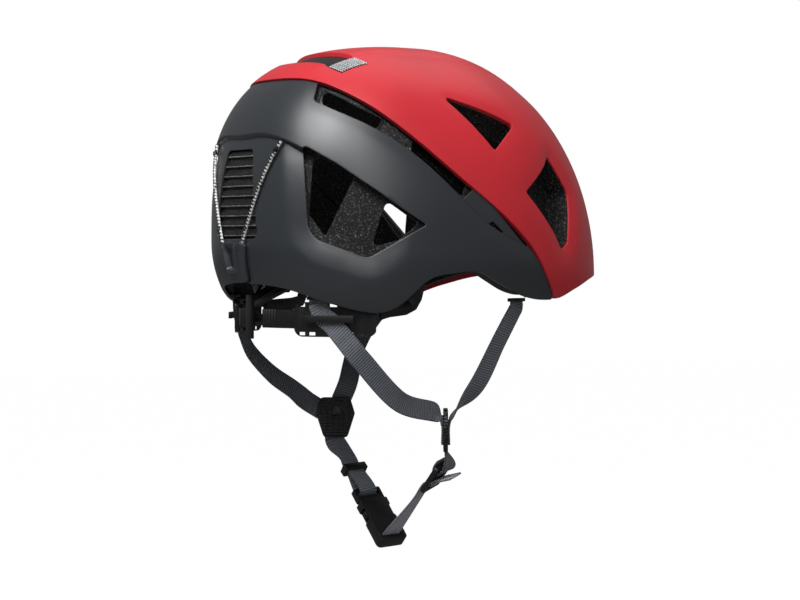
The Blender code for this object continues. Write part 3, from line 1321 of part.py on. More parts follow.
def pad(name, headings, levels, inset_at, look, columns=8, rows=4):
    """Crowned pad against the inside of the foam, drawn in at its ends."""
    skins = ([], [])
    for r in range(rows + 1):
        v = 2 * r / rows - 1
        for skin in skins:
            skin.append([])
        for c in range(columns + 1):
            u = 2 * c / columns - 1
            theta = math.radians((headings[0] + headings[1] + u * (headings[1] - headings[0])) / 2)
            z = (levels[0] + levels[1] + v * (levels[1] - levels[0]) * (1 - PAD_TAPER * u ** 4)) / 2
            phi = rise_where(theta, lambda y: z)
            near = inset_at(theta, phi) + PAD_GAP
            thick = PAD_EDGE + (PAD_WALL - PAD_EDGE) * (1 - u ** 4) * (1 - v ** 4)
            for skin, depth in zip(skins, (near, near + thick)):
                skin[-1].append(dome_point(theta, phi, depth))
    return slab(name, *skins, look["pad"])


def make_pads(look):
    front = SHELL_WALL + FIT_GAP + FOAM_WALL
    rear = SHELL_WALL + FOAM_GAP + FOAM_WALL
    pad("brow_pad", BROW_PAD_DEG, BROW_PAD_LEVELS, lambda theta, phi: front, look, 12)
    for name, side in SIDES:
        pad("nape_pad_" + name, [d * side for d in NAPE_PAD_DEG], NAPE_PAD_LEVELS,
            lambda theta, phi: rear + recess(theta, phi), look)
    skins = ([], [])
    rows, columns = 3, 20
    for r in range(rows):
        rise = math.radians(CROWN_PAD_RISE_DEG + (90 - CROWN_PAD_RISE_DEG) * r / rows)
        thick = PAD_EDGE + (PAD_WALL - PAD_EDGE) * (1 - (1 - r / rows) ** 4)
        for skin, depth in zip(skins, (front + PAD_GAP, front + PAD_GAP + thick)):
            skin.append([dome_point(2 * math.pi * c / columns, rise, depth) for c in range(columns)])
    poles = [dome_point(0, math.pi / 2, front + PAD_GAP + k) for k in (0.0, PAD_WALL)]
    slab("crown_pad", *skins, look["pad"], True, poles)


def main():
    clear_scene()
    look = finishes()
    meet = meeting_heading()
    cutters = make_cutters()
    make_shells(look, cutters, meet)
    make_foam(look, cutters, meet)
    make_rear_window(look)
    make_tab(look)
    make_bungee(look)
    make_shell_fittings(look)
    make_cradle(look)
    make_side_straps(look)
    make_dividers(look)
    make_buckle(look)
    make_left_chin_strap(look)
    make_right_chin_strap(look)
    make_pads(look)


main()
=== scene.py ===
"""Climbing helmet: shells, foam, cradle, webbing and pads, with their finishes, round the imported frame."""
import json
import math

import bmesh
import bpy
from mathutils import Matrix, Vector

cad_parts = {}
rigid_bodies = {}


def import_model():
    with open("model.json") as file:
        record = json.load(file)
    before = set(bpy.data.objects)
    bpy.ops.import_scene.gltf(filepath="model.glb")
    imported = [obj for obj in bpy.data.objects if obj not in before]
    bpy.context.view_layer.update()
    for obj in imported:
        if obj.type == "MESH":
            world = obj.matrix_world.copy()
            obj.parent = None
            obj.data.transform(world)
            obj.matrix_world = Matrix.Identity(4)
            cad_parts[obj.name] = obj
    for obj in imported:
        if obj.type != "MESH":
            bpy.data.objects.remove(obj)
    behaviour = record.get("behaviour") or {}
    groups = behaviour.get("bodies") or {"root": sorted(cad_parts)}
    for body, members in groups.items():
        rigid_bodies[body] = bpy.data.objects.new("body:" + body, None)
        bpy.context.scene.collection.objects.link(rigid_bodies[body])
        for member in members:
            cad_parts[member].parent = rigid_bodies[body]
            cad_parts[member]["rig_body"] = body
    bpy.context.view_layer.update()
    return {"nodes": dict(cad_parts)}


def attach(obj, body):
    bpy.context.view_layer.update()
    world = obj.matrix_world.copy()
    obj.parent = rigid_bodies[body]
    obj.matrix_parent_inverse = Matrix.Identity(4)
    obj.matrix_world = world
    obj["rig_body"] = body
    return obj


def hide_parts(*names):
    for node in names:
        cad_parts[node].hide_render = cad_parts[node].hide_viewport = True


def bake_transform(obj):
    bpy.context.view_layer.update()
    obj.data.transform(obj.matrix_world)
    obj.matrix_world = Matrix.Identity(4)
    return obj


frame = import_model()

bl_info = {
    "name": "Climbing Helmet",
    "version": (1, 0, 0),
    "blender": (4, 5, 0),
    "location": "View3D > Sidebar > Helmet",
    "description": "Builds a climbing helmet with moulded shells, a foam liner and a webbing harness",
    "category": "Add Mesh",
}

# Outer form of the helmet, in metres, shared by every shell and by the foam
HALF_WIDTH = 0.110
FRONT_LENGTH = 0.140
REAR_LENGTH = 0.132
CROWN_HEIGHT = 0.168
FRONT_EQUATOR = 0.006
SIDE_EQUATOR = 0.026
REAR_EQUATOR = 0.036
UNDERCURVE = 0.100
PLAN_POWER_FRONT = 2.2
PLAN_POWER_REAR = 2.6
RISE_POWER_FRONT = 2.0
RISE_POWER_SIDE = 2.35
RISE_POWER_REAR = 3.0
SHELL_WALL = 0.0024
FOAM_GAP = 0.0009
FOAM_WALL = 0.0170
FOAM_RIM_RISE = 0.0030
FOAM_RIM_FLOOR = -0.0020
FIT_GAP = 0.0003
SEAM_DEG = 0.5
LEDGE_STEP = 0.0030
LEDGE_LIP_DEG = 0.8
FOAM_LEDGE_DEG = 2.4
LEDGE_FULL_DEG = 30.0
LEDGE_FADE_DEG = 44.0

# Ledge: its limits between rim and parting line, and the shares of depth and of lip in its curve
LEDGE_LIMITS = (0.3, 0.75)
LEDGE_CURVE = ((0.55, 0.25), (0.15, 0.6))
FOAM_LEDGE_SHARE = 0.2

# Where places on the dome are searched for, and in how many rounds
RISE_SEARCH_DEG = (-40, 75)
RISE_ROUNDS = 32
MEETING_SEARCH_DEG = (95, 150)
MEETING_ROUNDS = 30
MEETING_GAP_DEG = 2.5
MESH_ROUNDS = 26
PANEL_ROUNDS = 6

# Relief of the shells: where the raised crown fades out, and the dishes round the openings
RIDGE_EDGE = 0.005
FLANK_FADE = (0.088, 0.055)
RIDGE_FRONT_FADE = (-0.085, -0.040)
RIDGE_REAR_FADE = (0.100, 0.075)
FRONT_VENT_DISH = 0.0085
FRONT_VENT_DEPTHS = (0.0010, 0.0016)
FRONT_VENT_FADE = (-0.010, 0.010)
CROWN_VENT_DISH = 0.006
CROWN_VENT_DEPTH = 0.0007
SLOT_DISH = 0.0075
SLOT_DEPTH = 0.0005
DISH_SOFT = 0.08
DISH_FRONT = 0.006
DISH_FADE = 0.020

# Heading from the rear in degrees and height of the rim and of the ledge, then the parting line
RIM_STATIONS = [(0, 0.007), (22, 0.003), (38, -0.007), (52, -0.013), (60, -0.008), (70, 0.009),
                (79, 0.0130), (89, 0.0138), (97, 0.007), (111, -0.003), (124, -0.005),
                (134, 0.002), (146, 0.009), (180, 0.016)]
LEDGE_STATIONS = [(0, 0.106), (16, 0.106), (29, 0.097), (50, 0.072), (69, 0.045),
                  (90, 0.032), (110, 0.020), (124, 0.004), (140, -0.004)]
SPLIT_STATIONS = [(-0.140, -0.110), (-0.066, -0.005), (-0.039, 0.032), (0.022, 0.082),
                  (0.085, 0.136), (0.100, 0.143), (0.140, 0.144)]

# Openings: yaw and pitch of the drawing plane, then corners (forward, up, corner radius)
SIDE_PLANE = (30.0, 0.0)
SIDE_VENT = [(-0.0640, 0.098, 0.002), (-0.060, 0.037, 0.016), (-0.021, 0.023, 0.009),
             (0.0175, 0.045, 0.001), (0.001, 0.056, 0.0), (-0.022, 0.072, 0.0), (-0.041, 0.085, 0.0)]
SLOT = [(-0.0520, 0.150, 0.0), (-0.0572, 0.1272, 0.003), (-0.0480, 0.1228, 0.0), (-0.0370, 0.1180, 0.0),
        (-0.0250, 0.1127, 0.0), (-0.0130, 0.1065, 0.0), (-0.0045, 0.1015, 0.0), (0.0037, 0.0960, 0.0),
        (0.0120, 0.0897, 0.0), (0.0200, 0.0830, 0.0), (0.0280, 0.0757, 0.0), (0.0360, 0.0680, 0.0),
        (0.0475, 0.0565, 0.0), (0.0590, 0.0457, 0.0), (0.0700, 0.0385, 0.0), (0.0850, 0.0310, 0.0),
        (0.092, 0.040, 0.0), (0.033, 0.095, 0.0), (-0.010, 0.128, 0.0)]
FOAM_HOLE_REAR = [(-0.057, 0.091, 0.004), (-0.060, 0.052, 0.004), (-0.049, 0.037, 0.0015),
                  (-0.028, 0.080, 0.005)]
FOAM_HOLE_FRONT = [(-0.009, 0.061, 0.003), (-0.019, 0.030, 0.003), (-0.001, 0.035, 0.004),
                   (0.012, 0.046, 0.002)]
SLOT_POCKET = [(-0.050, 0.134, 0.003), (-0.052, 0.125, 0.003), (-0.016, 0.1075, 0.003),
               (-0.011, 0.115, 0.003)]
SLOT_HOLLOW = [(0.0094, 0.110, 0.0), (0.046, 0.078, 0.0), (0.040, 0.062, 0.0), (0.0075, 0.093, 0.0)]
POCKET_FRAME_WALL = 0.0016
HOLLOW_DEPTH = 0.0100
HOLLOW_PROUD = 0.002
CLIP = [(0.0418, 0.0622, 0.0), (0.0535, 0.0740, 0.0), (0.0665, 0.0575, 0.0), (0.0645, 0.0545, 0.0),
        (0.0805, 0.0352, 0.0), (0.0850, 0.0308, 0.0), (0.0700, 0.0383, 0.0), (0.0590, 0.0455, 0.0),
        (0.0475, 0.0563, 0.0)]
CLIP_HOLE = [(0.0589, 0.0460, 0.0004), (0.0618, 0.0474, 0.0004), (0.0702, 0.0390, 0.0004),
             (0.0632, 0.0416, 0.0004)]
CROWN_VENT_PLANE = (0.0, 35.0)
CROWN_VENT = [(-0.017, 0.061, 0.002), (0.015, 0.020, 0.0015), (0.037, 0.041, 0.002)]
FRONT_VENT_PLANE = (-35.0, 10.0)
FRONT_VENT = [(0.005, 0.072, 0.002), (-0.029, 0.048, 0.002), (0.003, 0.007, 0.003),
              (0.012, 0.012, 0.003), (0.021, 0.046, 0.010)]
REAR_PLANE = (90.0, 0.0)
TOP_PLANE = (90.0, 90.0)

# Foam behind a front vent: its narrower hole, and the distances between which that widens to the vent
FRONT_VENT_INNER = [(-0.004, 0.066, 0.002), (-0.028, 0.048, 0.002), (-0.010, 0.020, 0.002),
                    (-0.005, 0.022, 0.002), (-0.003, 0.046, 0.002)]
FRONT_VENT_FLARE = (0.108, 0.112)

# Crown slot and the mesh in its ends
CROWN_SLOT_HALF = 0.054
CROWN_SLOT_REAR = -0.086
CROWN_SLOT_FRONT = -0.066
CROWN_SLOT_BOW = 0.010
CROWN_SLOT_STEPS = 12
MESH_INNER_HALF = 0.0425
MESH_PITCH = 0.0017
MESH_ALONG = 12
MESH_ACROSS = 14
WIRE_RADIUS = 0.00030
WIRE_SIDES = 5

# Reach of a cutter along its plane's outward axis
CUT_INNER = 0.030
CUT_OUTER = 0.190

# Patches of the dome that slot fittings are cut from: headings and rises in degrees, columns and rows
HOLLOW_PATCH = ((52, 100), (4, 46), 32, 28)
FRAME_PATCH = ((20, 68), (14, 52), 30, 24)
CLIP_PATCH = ((62, 128), (-12, 34), 60, 40)
SHADE_PLATE_PATCH = ((-52, 52), (40, 74), 40, 30)

# Depths in the shell's wall, as shares of it
CLIP_DEPTHS = (0.2, 1.4)
SHADE_PLATE_DEPTH = 0.6
MESH_DEPTH = 0.15

# Rear window and its ribbed panel
WINDOW_TOP_HALF = 0.019
WINDOW_FOOT_HALF = 0.031
WINDOW_TOP = 0.096
WINDOW_FOOT = 0.036
WINDOW_RADIUS = 0.005
PANEL_WALL = 0.0011
PANEL_RIBS = 9
PANEL_COLUMNS = 16
RIB_ROWS = 16

# A rib's profile: shares of its pitch, then the share that it falls by, and heights
RIB_FOOT = (0.20, 0.34)
RIB_TOP = 0.96
RIB_FALL = 0.75
RIB_GROOVE = 0.0008
RIB_RISE = 0.0021

# Pull tab, then the relief of its face, with levels and fades as shares of its height
TAB_TOP_HALF = 0.0180
TAB_FOOT_HALF = 0.0130
TAB_TOP = 0.0335
TAB_FOOT = 0.0065
TAB_THICK = 0.0042
TAB_TOP_RADIUS = 0.003
TAB_FOOT_RADIUS = 0.004
TAB_GRID = (80, 72)
TAB_HOLLOW_HALF = 0.0052
TAB_HOLLOW_SPREAD = 0.0040
TAB_HOLLOW_FOOT = 0.30
TAB_HOLLOW_DEPTH = 0.0026
TAB_HOLLOW_SIDE = (-0.15, -0.65)
TAB_HOLLOW_TOP = (0.98, 0.70)
TAB_SIDE_REACH = 0.004
TAB_FOOT_REACH = 0.16
TAB_RIDGE = 0.0017
TAB_RIDGE_WIDTH = 0.30
TAB_RIDGE_FADE = (1.02, 0.86)
TAB_EDGE_FALL = 0.0024
TAB_EDGE_REACH = 0.0040
TAB_DOTS = 4
TAB_DOT_LEVELS = (0.075, 0.175)
TAB_DOT_PITCH = 0.0030
TAB_DOT_RISE = 0.0006
TAB_DOT_FADE = (0.0011, 0.0005)

# Bungee and the sleeves at its anchors
CORD_FOOT_X = 0.0125
CORD_SEAT = 0.0050
ANCHOR_X = 0.0455
ANCHOR_Z = 0.0950
ANCHOR_RUN = 0.0030
CORD_TUCK = 0.0065
CORD_SIDES = 12
CORD_STATIONS = 14
CORD_STEPS = 8
SLEEVE_STEPS = 6
SLEEVE_SHARE = 0.66
BRAID_PITCH = 0.0024

# Cradle and harness, as far as the webbing follows them
CRADLE_Y = 0.020
BAND_RADIUS = 0.094
BAND_WALL = 0.0020
GUIDE_WALL = 0.0024
WEB_WALL = 0.0016

# Section of the webbing as shares of its half width, its thin edges and the run of its ribs, with the share
# of the ribs' painted shade and highlight kept where they end
WEB_PROFILE = [-1.0, -0.985, -0.93, -0.84, -0.5, 0.0, 0.5, 0.84, 0.93, 0.985, 1.0]
WEB_EDGE_SHARE = 0.30
WEB_EDGE_START = 0.93
RIB_END = 0.86
RIB_END_PAINTED_SHARE = 0.45
RIB_LEAN = 0.10
RIB_STEPS = 6
STATION_STEPS = 24

# Routes of the webbing and what it runs through
STRAP_CLEAR = 0.0006
LAYER_GAP = 0.0006
REAR_STRAP_ARC = ((40.3, -0.0150), (44.5, -0.0215), (48.6, -0.0300))
REAR_HANG = {"right": [(-0.0785, 0.0750, -0.0440), (-0.0755, 0.0440, -0.0725)],
             "left": [(0.0760, 0.0780, -0.0440), (0.0755, 0.0620, -0.0600), (0.0765, 0.0450, -0.0710)]}
FRONT_HANG = {"right": [(-0.0870, -0.0265, -0.0340), (-0.0795, -0.0150, -0.0620)],
              "left": [(0.0860, -0.0215, -0.0270), (0.0800, -0.0080, -0.0460)]}
STRAP_DROP = 0.0025
STRAP_LEAD_SHARE = 0.17
REAR_ANCHOR_DEG = 38.5
REAR_ANCHOR_Z = -0.0033
FRONT_ANCHOR_DEG = 113.0
FRONT_ANCHOR_Z = -0.0052
DIVIDERS = {"right": ((-0.0670, 0.0030, -0.0935), (0.50, 0.866, 0.0)),
            "left": ((0.0670, 0.0150, -0.0920), (-0.90, 0.436, 0.0))}
DIVIDER_WIDTH = 0.0280
DIVIDER_HEIGHT = 0.0290
DIVIDER_WALL = 0.0030
DIVIDER_TUCK = 0.0040
RIGHT_END_LIFT = 1.2
LEFT_FRONT_LIFT = 1.25
LEFT_REAR_LEAN = (0.8, 0.5)
LEFT_FRONT_LEAN = 0.4
BUCKLE_BAR = (0.0280, 0.0120, -0.1420)
BUCKLE_END = (-0.0040, 0.0080, -0.1760)
BUCKLE_THICK = 0.0080
BAR_WIDTH = 0.0024
BAR_SLOT = 0.0040
MALE_THICK = 0.0040
END_SLOT = 0.0028
END_BAR = 0.0044
KEEPER_BACK = 0.0200
ADJUSTER = (-0.0525, 0.0015, -0.1260)
ADJUSTER_ACROSS = (-0.60, 0.80, 0.0)
ADJUSTER_LENGTH = 0.0240
ADJUSTER_WALL = 0.0034
ADJUSTER_BAR = 0.0030

# Pads
PAD_GAP = 0.0013
PAD_WALL = 0.0060
PAD_EDGE = 0.0020
PAD_TAPER = 0.35
PAD_TAPER_POWER = 4
PAD_CROWN_POWER = 6
PAD_SEAM_DEPTH = 0.0009
PAD_SEAM_AT = 0.86
PAD_SEAM_WIDTH = 0.03
BROW_PAD_DEG = (146.0, 214.0)
BROW_PAD_LEVELS = (0.022, 0.052)
NAPE_PAD_DEG = (22.0, 46.0)
NAPE_PAD_LEVELS = (-0.006, 0.034)
CROWN_PAD_RISE_DEG = 68.0

# Mesh density of the shown surfaces
UPPER_COLUMNS = 168
UPPER_ROWS = 44
LOWER_COLUMNS = 190
LOWER_ROWS_UNDER = 36
LOWER_ROWS_BAND = 20
FOAM_COLUMNS = 96
FOAM_ROWS = 16
BROW_PAD_GRID = (60, 20)
NAPE_PAD_GRID = (30, 20)
CROWN_PAD_GRID = (60, 12)

# Angles in degrees over which an edge stays sharp, and the rounding of small mouldings
SHELL_SHARP = 32.0
MOULDED_SHARP = 40
PANEL_SHARP = 50
ROUND_SHARP = 60
PAD_SHARP = 70
EDGE_SHARP = 35.0
EDGE_SEGMENTS = 2
FLAT_ANGLE = 0.6
MERGE_DISTANCE = 2e-5

# Photograph's view: where the camera stands and what it looks at
VIEW_TARGET = (0.0, 0.0, 0.060)
VIEW_AZIMUTH = 240.0
VIEW_RISE = -1.0
VIEW_DISTANCE = 1.8
VIEW_DROP = 0.0665
LENS_MM = 115.7

# Light: strength of the world, the paper floor, and each lamp's place, size and watts
WORLD_LIGHT = 0.25
WORLD_SHINE = 0.25
FLOOR_HALF = 6.0
FLOOR_HEIGHT = -0.36
FLOOR_GREY = 0.22
FLOOR_SEEN = 0.88
FLOOR_GLOW = 1.12
LAMP_AIM = (0, 0, 0.08)
LAMPS = {"rear_softbox": ((-0.32, 0.92, 1.14), 1.00, 18.0),
         "side_softbox": ((-0.78, 0.66, 1.12), 1.00, 11.0),
         "side_fill": ((-1.6, 0.5, 0.8), 1.00, 5.0),
         "front_softbox": ((0.30, -0.55, 1.35), 1.30, 3.0)}

# Radius at which the edges of shells and foam catch the light
EDGE_SHINE = 0.0013

SIDES = (("right", 1), ("left", -1))
UP = Vector((0, 0, 1))


def linear(hex_colour):
    """sRGB hex colour as a linear one."""
    parts = [int(hex_colour[i:i + 2], 16) / 255 for i in (1, 3, 5)]
    return tuple(c / 12.92 if c <= 0.04045 else ((c + 0.055) / 1.055) ** 2.4 for c in parts)


# Settings shown in the sidebar

class HelmetSizes(bpy.types.PropertyGroup):
    """Sizes of the shown surfaces"""
    ridge_height: bpy.props.FloatProperty(
        name="Ridge height", description="Rise of the crown's raised middle", default=0.0016, unit='LENGTH')
    ridge_half: bpy.props.FloatProperty(
        name="Ridge half width", description="Half width of the raised middle", default=0.038, unit='LENGTH')
    lip: bpy.props.FloatProperty(
        name="Upper shell lip", description="How far the red shell stands out", default=0.0010, unit='LENGTH')
    dish_depth: bpy.props.FloatProperty(
        name="Dish depth", description="Depth of the dish round a side vent", default=0.0042, unit='LENGTH')
    dish_reach: bpy.props.FloatProperty(
        name="Dish reach", description="Width of the dish round a side vent", default=0.0165, unit='LENGTH')
    web_width: bpy.props.FloatProperty(
        name="Webbing width", description="Width of the straps", default=0.0140, unit='LENGTH')
    rib_pitch: bpy.props.FloatProperty(
        name="Rib pitch", description="Spacing of the webbing's ribs", default=0.0017, unit='LENGTH')
    rib_height: bpy.props.FloatProperty(
        name="Rib height", description="Height of the webbing's ribs", default=0.00032, unit='LENGTH')
    cord: bpy.props.FloatProperty(
        name="Cord diameter", description="Diameter of the bungee", default=0.0024, unit='LENGTH')
    edge: bpy.props.FloatProperty(
        name="Edge radius", description="Rounding of small moulded parts", default=0.0004, unit='LENGTH')


class HelmetColours(bpy.types.PropertyGroup):
    """Colours of the finishes"""
    red: bpy.props.FloatVectorProperty(
        name="Upper shell", description="Red ABS", subtype='COLOR', default=linear("#BA1E29"))
    grey: bpy.props.FloatVectorProperty(
        name="Lower shell", description="Charcoal ABS", subtype='COLOR', default=linear("#202429"))
    foam: bpy.props.FloatVectorProperty(
        name="Foam", description="Black bead foam", subtype='COLOR', default=linear("#070708"))
    fleck: bpy.props.FloatVectorProperty(
        name="Foam flecks", description="Pale bead skins", subtype='COLOR', default=linear("#7C7E7B"))
    nylon: bpy.props.FloatVectorProperty(
        name="Nylon", description="Black moulded nylon", subtype='COLOR', default=linear("#0C0C0E"))
    webbing: bpy.props.FloatVectorProperty(
        name="Webbing", description="Grey polyester", subtype='COLOR', default=linear("#555960"))
    chin: bpy.props.FloatVectorProperty(
        name="Chin strap", description="Paler grey polyester", subtype='COLOR', default=linear("#9A99A2"))
    mesh: bpy.props.FloatVectorProperty(
        name="Mesh", description="Silver woven mesh", subtype='COLOR', default=linear("#C9CBCC"))
    pad: bpy.props.FloatVectorProperty(
        name="Pads", description="Grey brushed polyester", subtype='COLOR', default=linear("#7A7D85"))


def sizes():
    """Sizes set in the sidebar."""
    return bpy.context.scene.helmet_sizes


def colours():
    """Colours set in the sidebar."""
    return bpy.context.scene.helmet_colours


# The dome that every large piece follows

def ease(low, high, value):
    """Smooth step from 0 at low to 1 at high."""
    t = min(max((value - low) / (high - low), 0.0), 1.0)
    return t * t * (3 - 2 * t)


def smooth_value(stations, at):
    """Cubic through listed stations, held at the end values beyond them."""
    keys = [s[0] for s in stations]
    vals = [s[1] for s in stations]
    at = min(max(at, keys[0]), keys[-1])
    i = min(max(sum(k <= at for k in keys) - 1, 0), len(keys) - 2)

    def slope(j):
        a, b = max(j - 1, 0), min(j + 1, len(keys) - 1)
        return (vals[b] - vals[a]) / (keys[b] - keys[a])
    h = keys[i + 1] - keys[i]
    t = (at - keys[i]) / h
    return ((2 * t ** 3 - 3 * t ** 2 + 1) * vals[i] + (t ** 3 - 2 * t ** 2 + t) * h * slope(i)
            + (3 * t ** 2 - 2 * t ** 3) * vals[i + 1] + (t ** 3 - t ** 2) * h * slope(i + 1))


def smooth_path(points, steps):
    """Points of a smooth curve through a given route."""
    pts = [Vector(p) for p in points]
    ext = [2 * pts[0] - pts[1]] + pts + [2 * pts[-1] - pts[-2]]
    out = []
    for i in range(1, len(ext) - 2):
        for k in range(steps):
            t = k / steps
            a, b, c, d = ext[i - 1:i + 3]
            out.append(0.5 * (2 * b + (c - a) * t + (2 * a - 5 * b + 4 * c - d) * t * t
                              + (3 * b - a - 3 * c + d) * t ** 3))
    out.append(pts[-1])
    return out


def by_heading(front, side, rear, theta):
    """Value at a heading, eased between those at the front, side and rear."""
    c = math.cos(theta)
    return side + ((rear if c > 0 else front) - side) * c * c


def dome_point(theta, phi, inset=0.0):
    """Point at a heading from the rear (towards the wearer's right) and an angle of rise."""
    s, c = math.sin(theta), math.cos(theta)
    length = (REAR_LENGTH if c > 0 else FRONT_LENGTH) - inset
    power = PLAN_POWER_REAR if c > 0 else PLAN_POWER_FRONT
    reach = (abs(s / (HALF_WIDTH - inset)) ** power + abs(c / length) ** power) ** (-1 / power)
    rise = by_heading(RISE_POWER_FRONT, RISE_POWER_SIDE, RISE_POWER_REAR, theta)
    equator = by_heading(FRONT_EQUATOR, SIDE_EQUATOR, REAR_EQUATOR, theta)
    if phi >= 0:
        out = max(math.cos(phi), 0.0) ** (2 / rise)
        up = equator + (CROWN_HEIGHT - inset - equator) * math.sin(phi) ** (2 / rise)
    else:
        out = math.cos(phi)
        up = equator - UNDERCURVE * math.sin(-phi)
    return Vector((-reach * s * out, reach * c * out, up))


def halve(low, high, short_of, rounds):
    """Narrow range round the place where a test stops being true."""
    for _ in range(rounds):
        mid = (low + high) / 2
        if short_of(mid):
            low = mid
        else:
            high = mid
    return low, high


def rise_where(theta, height_at):
    """Angle of rise at which the dome reaches a height given by the point's Y."""
    def below(phi):
        p = dome_point(theta, phi)
        return p.z < height_at(p.y)
    low, high = halve(*(math.radians(deg) for deg in RISE_SEARCH_DEG), below, RISE_ROUNDS)
    return (low + high) / 2


def heading_deg(theta):
    """Heading from the rear in degrees, the same on both sides."""
    deg = abs(math.degrees(theta)) % 360
    return 360 - deg if deg > 180 else deg


def rim_rise(theta, foam=False):
    """Rise of the shell's rim, or of the foam's, at a heading."""
    height = smooth_value(RIM_STATIONS, heading_deg(theta))
    if foam:
        height = max(height + FOAM_RIM_RISE, FOAM_RIM_FLOOR)
    return rise_where(theta, lambda y: height)


def ledge_rise(theta):
    """Rise of the rear ledge at a heading."""
    height = smooth_value(LEDGE_STATIONS, heading_deg(theta))
    return rise_where(theta, lambda y: height)


def split_rise(theta):
    """Rise of the parting line between the shells at a heading."""
    return rise_where(theta, lambda y: smooth_value(SPLIT_STATIONS, y))


def meeting_heading():
    """Heading at which the parting line runs into the rim, in front of the temple."""
    def apart(theta):
        return split_rise(theta) - rim_rise(theta) > math.radians(MEETING_GAP_DEG)
    return halve(*(math.radians(deg) for deg in MEETING_SEARCH_DEG), apart, MEETING_ROUNDS)[0]


def plane_axes(plane, side):
    """Forward, up and outward axes of a drawing plane; side is 1 on the wearer's right."""
    yaw, pitch = math.radians(plane[0]), math.radians(plane[1])
    forward = Vector((-math.sin(yaw) * side, -math.cos(yaw), 0))
    out = Vector((-math.cos(yaw) * math.cos(pitch) * side, math.sin(yaw) * math.cos(pitch),
                  math.sin(pitch)))
    up = Vector((math.cos(yaw) * math.sin(pitch) * side, -math.sin(yaw) * math.sin(pitch),
                 math.cos(pitch)))
    return forward, up, out


def rounded(corners, steps=8, grow=0.0):
    """Outline with each corner rounded by its own radius, moved out by grow."""
    middle = Vector((sum(c[0] for c in corners), sum(c[1] for c in corners))) / len(corners)
    out = []
    for i, (u, v, radius) in enumerate(corners):
        here = Vector((u, v))
        before = (Vector(corners[i - 1][:2]) - here).normalized()
        after = (Vector(corners[(i + 1) % len(corners)][:2]) - here).normalized()
        if radius <= 0:
            out.append(here)
            continue
        half = before.angle(after) / 2
        reach = radius / math.tan(half)
        centre = here + (before + after).normalized() * radius / math.sin(half)
        start = here + before * reach - centre
        sweep_angle = start.angle_signed(here + after * reach - centre)
        for k in range(steps + 1):
            out.append(centre + Matrix.Rotation(-sweep_angle * k / steps, 2) @ start)
    return [p + (p - middle).normalized() * grow for p in out]


def distance_outside(point, outline):
    """Distance of a plane point from an outline, zero inside it."""
    inside = False
    best = 1.0
    for i, a in enumerate(outline):
        b = outline[(i + 1) % len(outline)]
        edge = b - a
        t = min(max((point - a).dot(edge) / max(edge.length_squared, 1e-12), 0), 1)
        best = min(best, (a + edge * t - point).length)
        if (a.y > point.y) != (b.y > point.y):
            if point.x < (b.x - a.x) * (point.y - a.y) / (b.y - a.y) + a.x:
                inside = not inside
    return 0.0 if inside else best


def dish(point, plane, outline, reach):
    """Share of a dish's depth at a point: 1 at the opening, 0 beyond its reach, and the place along it."""
    forward, up, out = plane_axes(plane, 1)
    here = Vector((-abs(point.x), point.y, point.z))
    if here.dot(out) < 0:
        return 0.0, 0.0
    along = here.dot(forward)
    t = max(1 - distance_outside(Vector((along, here.dot(up))), outline) / reach, 0.0)
    share, full = (k - DISH_SOFT * (1 - math.exp(-k / DISH_SOFT)) for k in (t, 1))
    return share / full, along


VENT_EDGE = rounded(SIDE_VENT, steps=4)
FRONT_VENT_EDGE = rounded(FRONT_VENT, steps=4)
CROWN_VENT_EDGE = rounded(CROWN_VENT, steps=2)
SLOT_EDGE = rounded(SLOT, steps=2)


def recess(theta, phi):
    """Depth of the rear panel under the ledge and of the dish round the side vent."""
    deg = heading_deg(theta)
    fade = min(max((LEDGE_FADE_DEG - deg) / (LEDGE_FADE_DEG - LEDGE_FULL_DEG), 0), 1)
    share, along = dish(dome_point(abs(theta), phi), SIDE_PLANE, VENT_EDGE, sizes().dish_reach)
    depth = sizes().dish_depth * min(max((DISH_FRONT - along) / DISH_FADE, 0), 1)
    return LEDGE_STEP * fade + depth * share


def crown_relief(p):
    """Rise of the upper shell's surface: flanks that fall away from a raised middle, and dished vents."""
    s = sizes()
    flank = ease(s.ridge_half, s.ridge_half + RIDGE_EDGE, abs(p.x)) * ease(*FLANK_FADE, abs(p.x))
    rise = -s.ridge_height * flank * ease(*RIDGE_FRONT_FADE, p.y) * ease(*RIDGE_REAR_FADE, p.y)
    share, along = dish(p, FRONT_VENT_PLANE, FRONT_VENT_EDGE, FRONT_VENT_DISH)
    rear_depth, front_gain = FRONT_VENT_DEPTHS
    rise -= (rear_depth + front_gain * ease(*FRONT_VENT_FADE, along)) * share
    rise -= CROWN_VENT_DEPTH * dish(p, CROWN_VENT_PLANE, CROWN_VENT_EDGE, CROWN_VENT_DISH)[0]
    return rise


def band_relief(p):
    """Depth of the shallow step in the band beside the slot."""
    return SLOT_DEPTH * dish(p, SIDE_PLANE, SLOT_EDGE, SLOT_DISH)[0]


# Mesh helpers

def add_object(name, bm):
    """Object with a built mesh, its faces turned outwards."""
    bmesh.ops.recalc_face_normals(bm, faces=bm.faces[:])
    mesh = bpy.data.meshes.new(name)
    bm.to_mesh(mesh)
    bm.free()
    made = bpy.data.objects.new(name, mesh)
    bpy.context.scene.collection.objects.link(made)
    return made


def grid_faces(bm, rows, wrap):
    """Faces between rows of points, joined round if they wrap."""
    for a, b in zip(rows, rows[1:]):
        for i in range(len(a) if wrap else len(a) - 1):
            j = (i + 1) % len(a)
            bm.faces.new((a[i], a[j], b[j], b[i]))


def close_tube(bm, rings):
    """Skin round a row of rings, with both ends closed."""
    grid_faces(bm, rings, True)
    bm.faces.new(rings[0])
    bm.faces.new(rings[-1])


